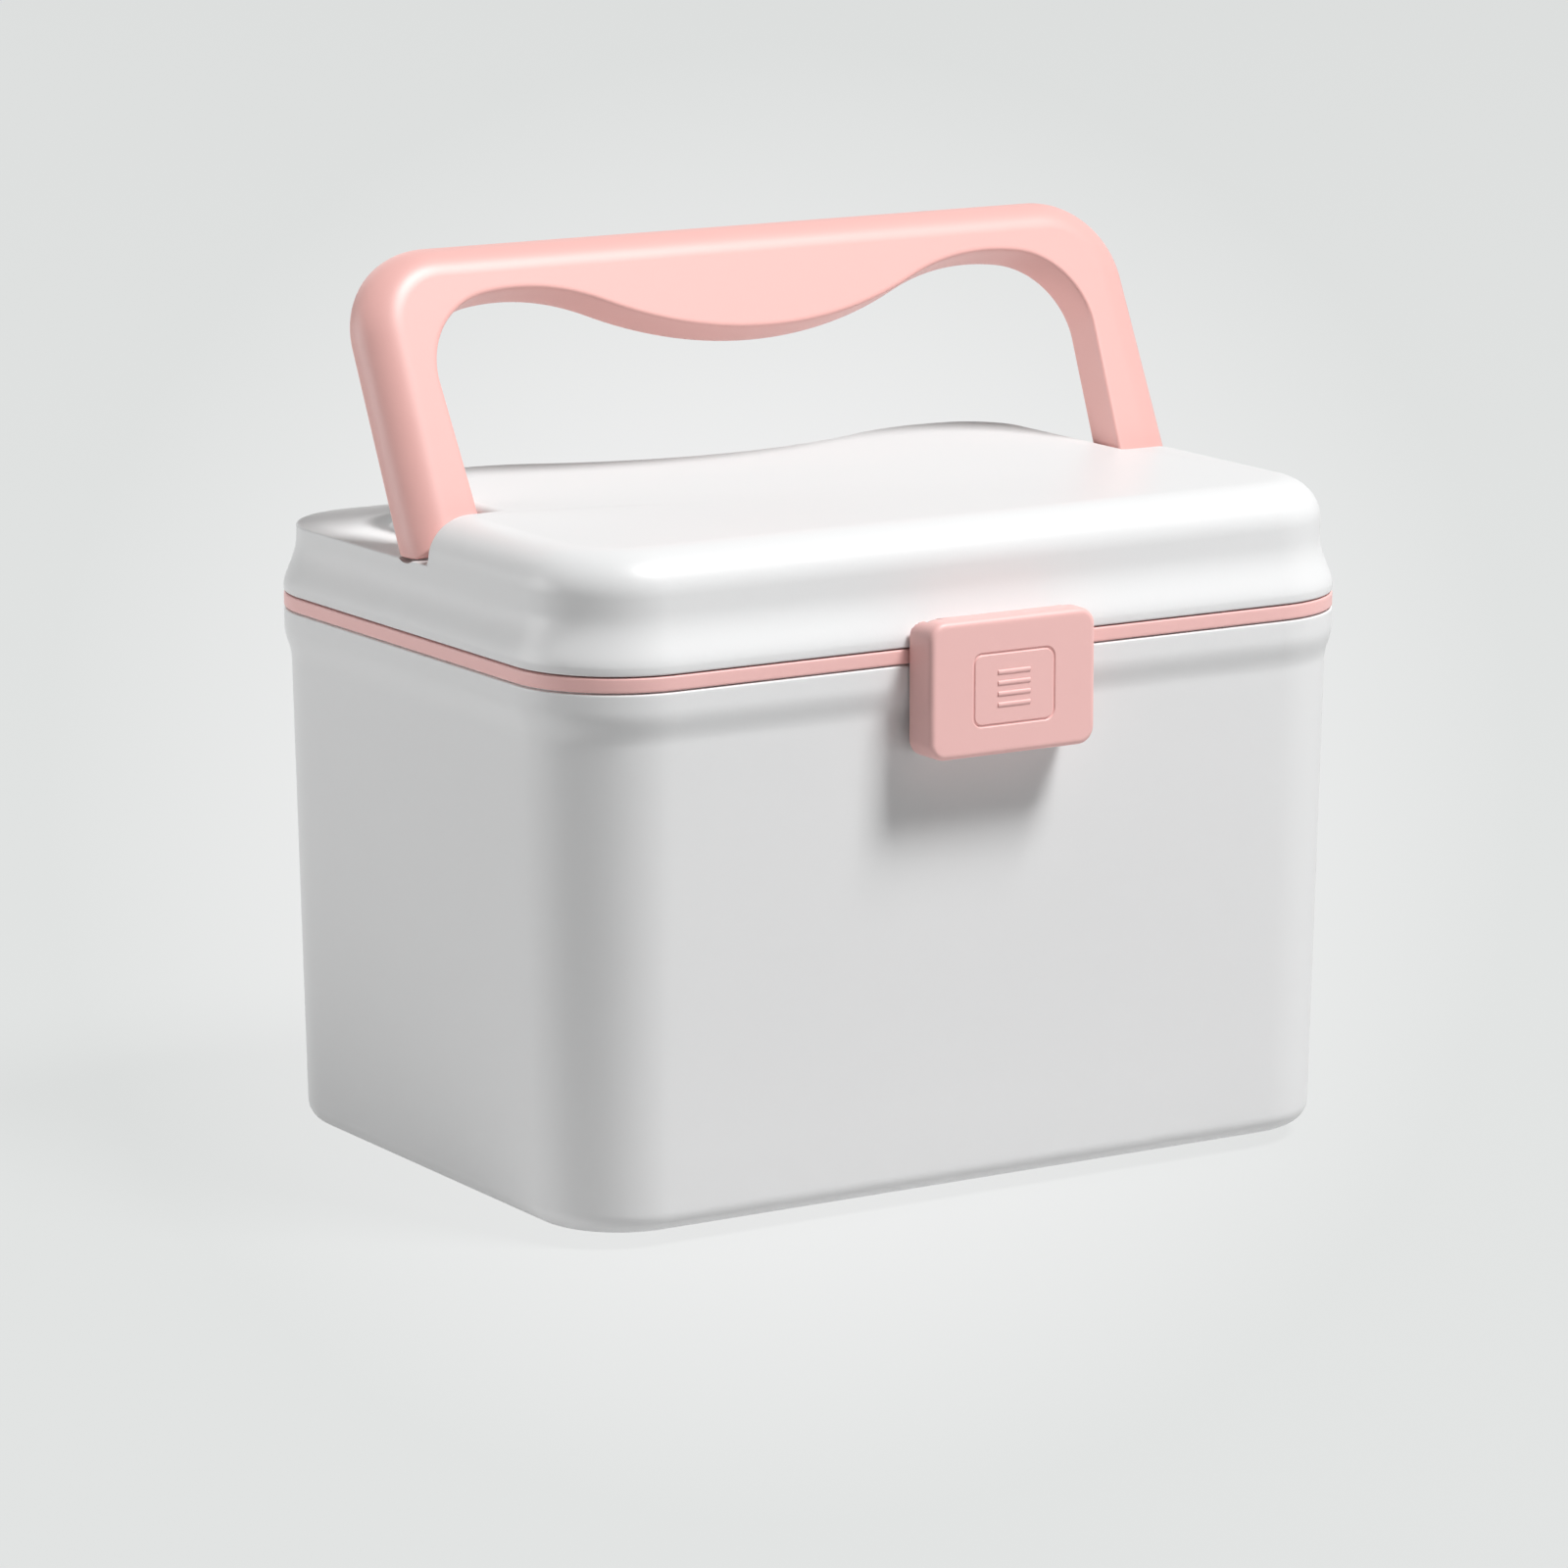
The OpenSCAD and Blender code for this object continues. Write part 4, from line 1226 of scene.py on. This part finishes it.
# Tones of the ground in the picture's middle and further out, the share of the
# ground that glows, and how fast the tone changes away from the middle
NEAR_TONE = (0.872, 0.875, 0.875, 1)
FAR_TONE = (0.753, 0.768, 0.761, 1)
GLOW = 0.94
SPREAD = 7.5
FLOOR_R = 9000

# Middle of the case, at which the lamps point
AIM = Vector((0, 0, 0.08))


def background_rays(made):
    """One for the rays that see the background, straight or in a shine, else nought."""
    camera_ray = made.node("ShaderNodeLightPath", out="Is Camera Ray")
    shine_ray = made.node("ShaderNodeLightPath", out="Is Glossy Ray")
    through_ray = made.node("ShaderNodeLightPath", out="Is Transmission Ray")
    return camera_ray + shine_ray + through_ray


def pale_stage():
    """A wide floor. The camera sees it as an even pale ground with a soft glow round
    the case that takes a little of its shadow; it is clear from below."""
    made = Material("pale_floor")
    place = made.node("ShaderNodeTexCoord", out="Object")
    sight = made.node("ShaderNodeVectorMath", {"operation": "SUBTRACT"}, {
        0: place, 1: CAMERA_PLACE})
    ray = made.node("ShaderNodeVectorMath", {"operation": "NORMALIZE"}, {0: sight})
    off_axis = made.node("ShaderNodeVectorMath", {"operation": "DISTANCE"}, {
        0: ray, 1: -CAMERA_BACK}, out=1)
    tone = made.node("ShaderNodeValToRGB", {"stops": (
        (0.35, NEAR_TONE), (0.8, FAR_TONE))}, {"Fac": off_axis * SPREAD})
    seen = background_rays(made)
    light = made.node("ShaderNodeEmission", values={"Color": tone, "Strength": 1.0})
    matt = made.node("ShaderNodeBsdfDiffuse", values={"Color": (0.8, 0.81, 0.81, 1)})
    dim = made.node("ShaderNodeBsdfDiffuse", values={"Color": (0.58, 0.58, 0.58, 1)})
    ground = made.node("ShaderNodeMixShader", values={0: GLOW, 1: matt, 2: light})
    both = made.node("ShaderNodeMixShader", values={0: seen, 1: dim, 2: ground})
    under = made.node("ShaderNodeNewGeometry", out="Backfacing")
    clear = made.node("ShaderNodeBsdfTransparent")
    return made.finish(made.node("ShaderNodeMixShader", values={
        0: under, 1: both, 2: clear}))


def floor():
    skin = Skin()
    steps = 64
    skin.flat([(FLOOR_R * cos(2 * pi * i / steps), FLOOR_R * sin(2 * pi * i / steps), 0)
               for i in range(steps)])
    data = skin.mesh("floor")
    data.materials.append(pale_stage())
    made = bpy.data.objects.new("floor", data)
    bpy.context.scene.collection.objects.link(made)


def lamp(name, place, size, power):
    data = bpy.data.lights.new(name, "AREA")
    data.shape = "RECTANGLE"
    data.size, data.size_y = size
    data.energy = power
    made = bpy.data.objects.new(name, data)
    made.location = place
    made.rotation_euler = (AIM - Vector(place)).to_track_quat("-Z", "Y").to_euler()
    bpy.context.scene.collection.objects.link(made)


def sky():
    """A world that shows the far ground's tone and hardly lights the case."""
    world = bpy.data.worlds.new("studio")
    made = Material("studio", world)
    tone = tuple(GLOW * part for part in FAR_TONE[:3]) + (1,)
    fill = 0.02
    back = made.node("ShaderNodeBackground", values={
        "Color": tone, "Strength": fill + (1 - fill) * background_rays(made)})
    made.node("ShaderNodeOutputWorld", values={"Surface": back})
    bpy.context.scene.world = world


def camera():
    data = bpy.data.cameras.new("camera")
    data.lens = data.sensor_width * FOCAL_PIXELS / PHOTO_PIXELS
    data.clip_end = 50
    made = bpy.data.objects.new("camera", data)
    made.location = CAMERA_PLACE
    made.rotation_euler = CAMERA_BACK.to_track_quat("Z", "Y").to_euler()
    bpy.context.scene.collection.objects.link(made)
    bpy.context.scene.camera = made


floor()
sky()
lamp("key_softbox", (0.81, -1.34, 2.5), (0.9, 0.8), 101)
lamp("left_softbox", (-2.2, 1.75, 0.35), (1.6, 1.8), 33)
lamp("low_softbox", (-2.7, 1.0, 0.2), (1.4, 1.0), 17)
lamp("rear_softbox", (0.5, 2.8, 1.2), (1.6, 1.6), 5)
camera()
bpy.context.scene.view_settings.view_transform = "Standard"
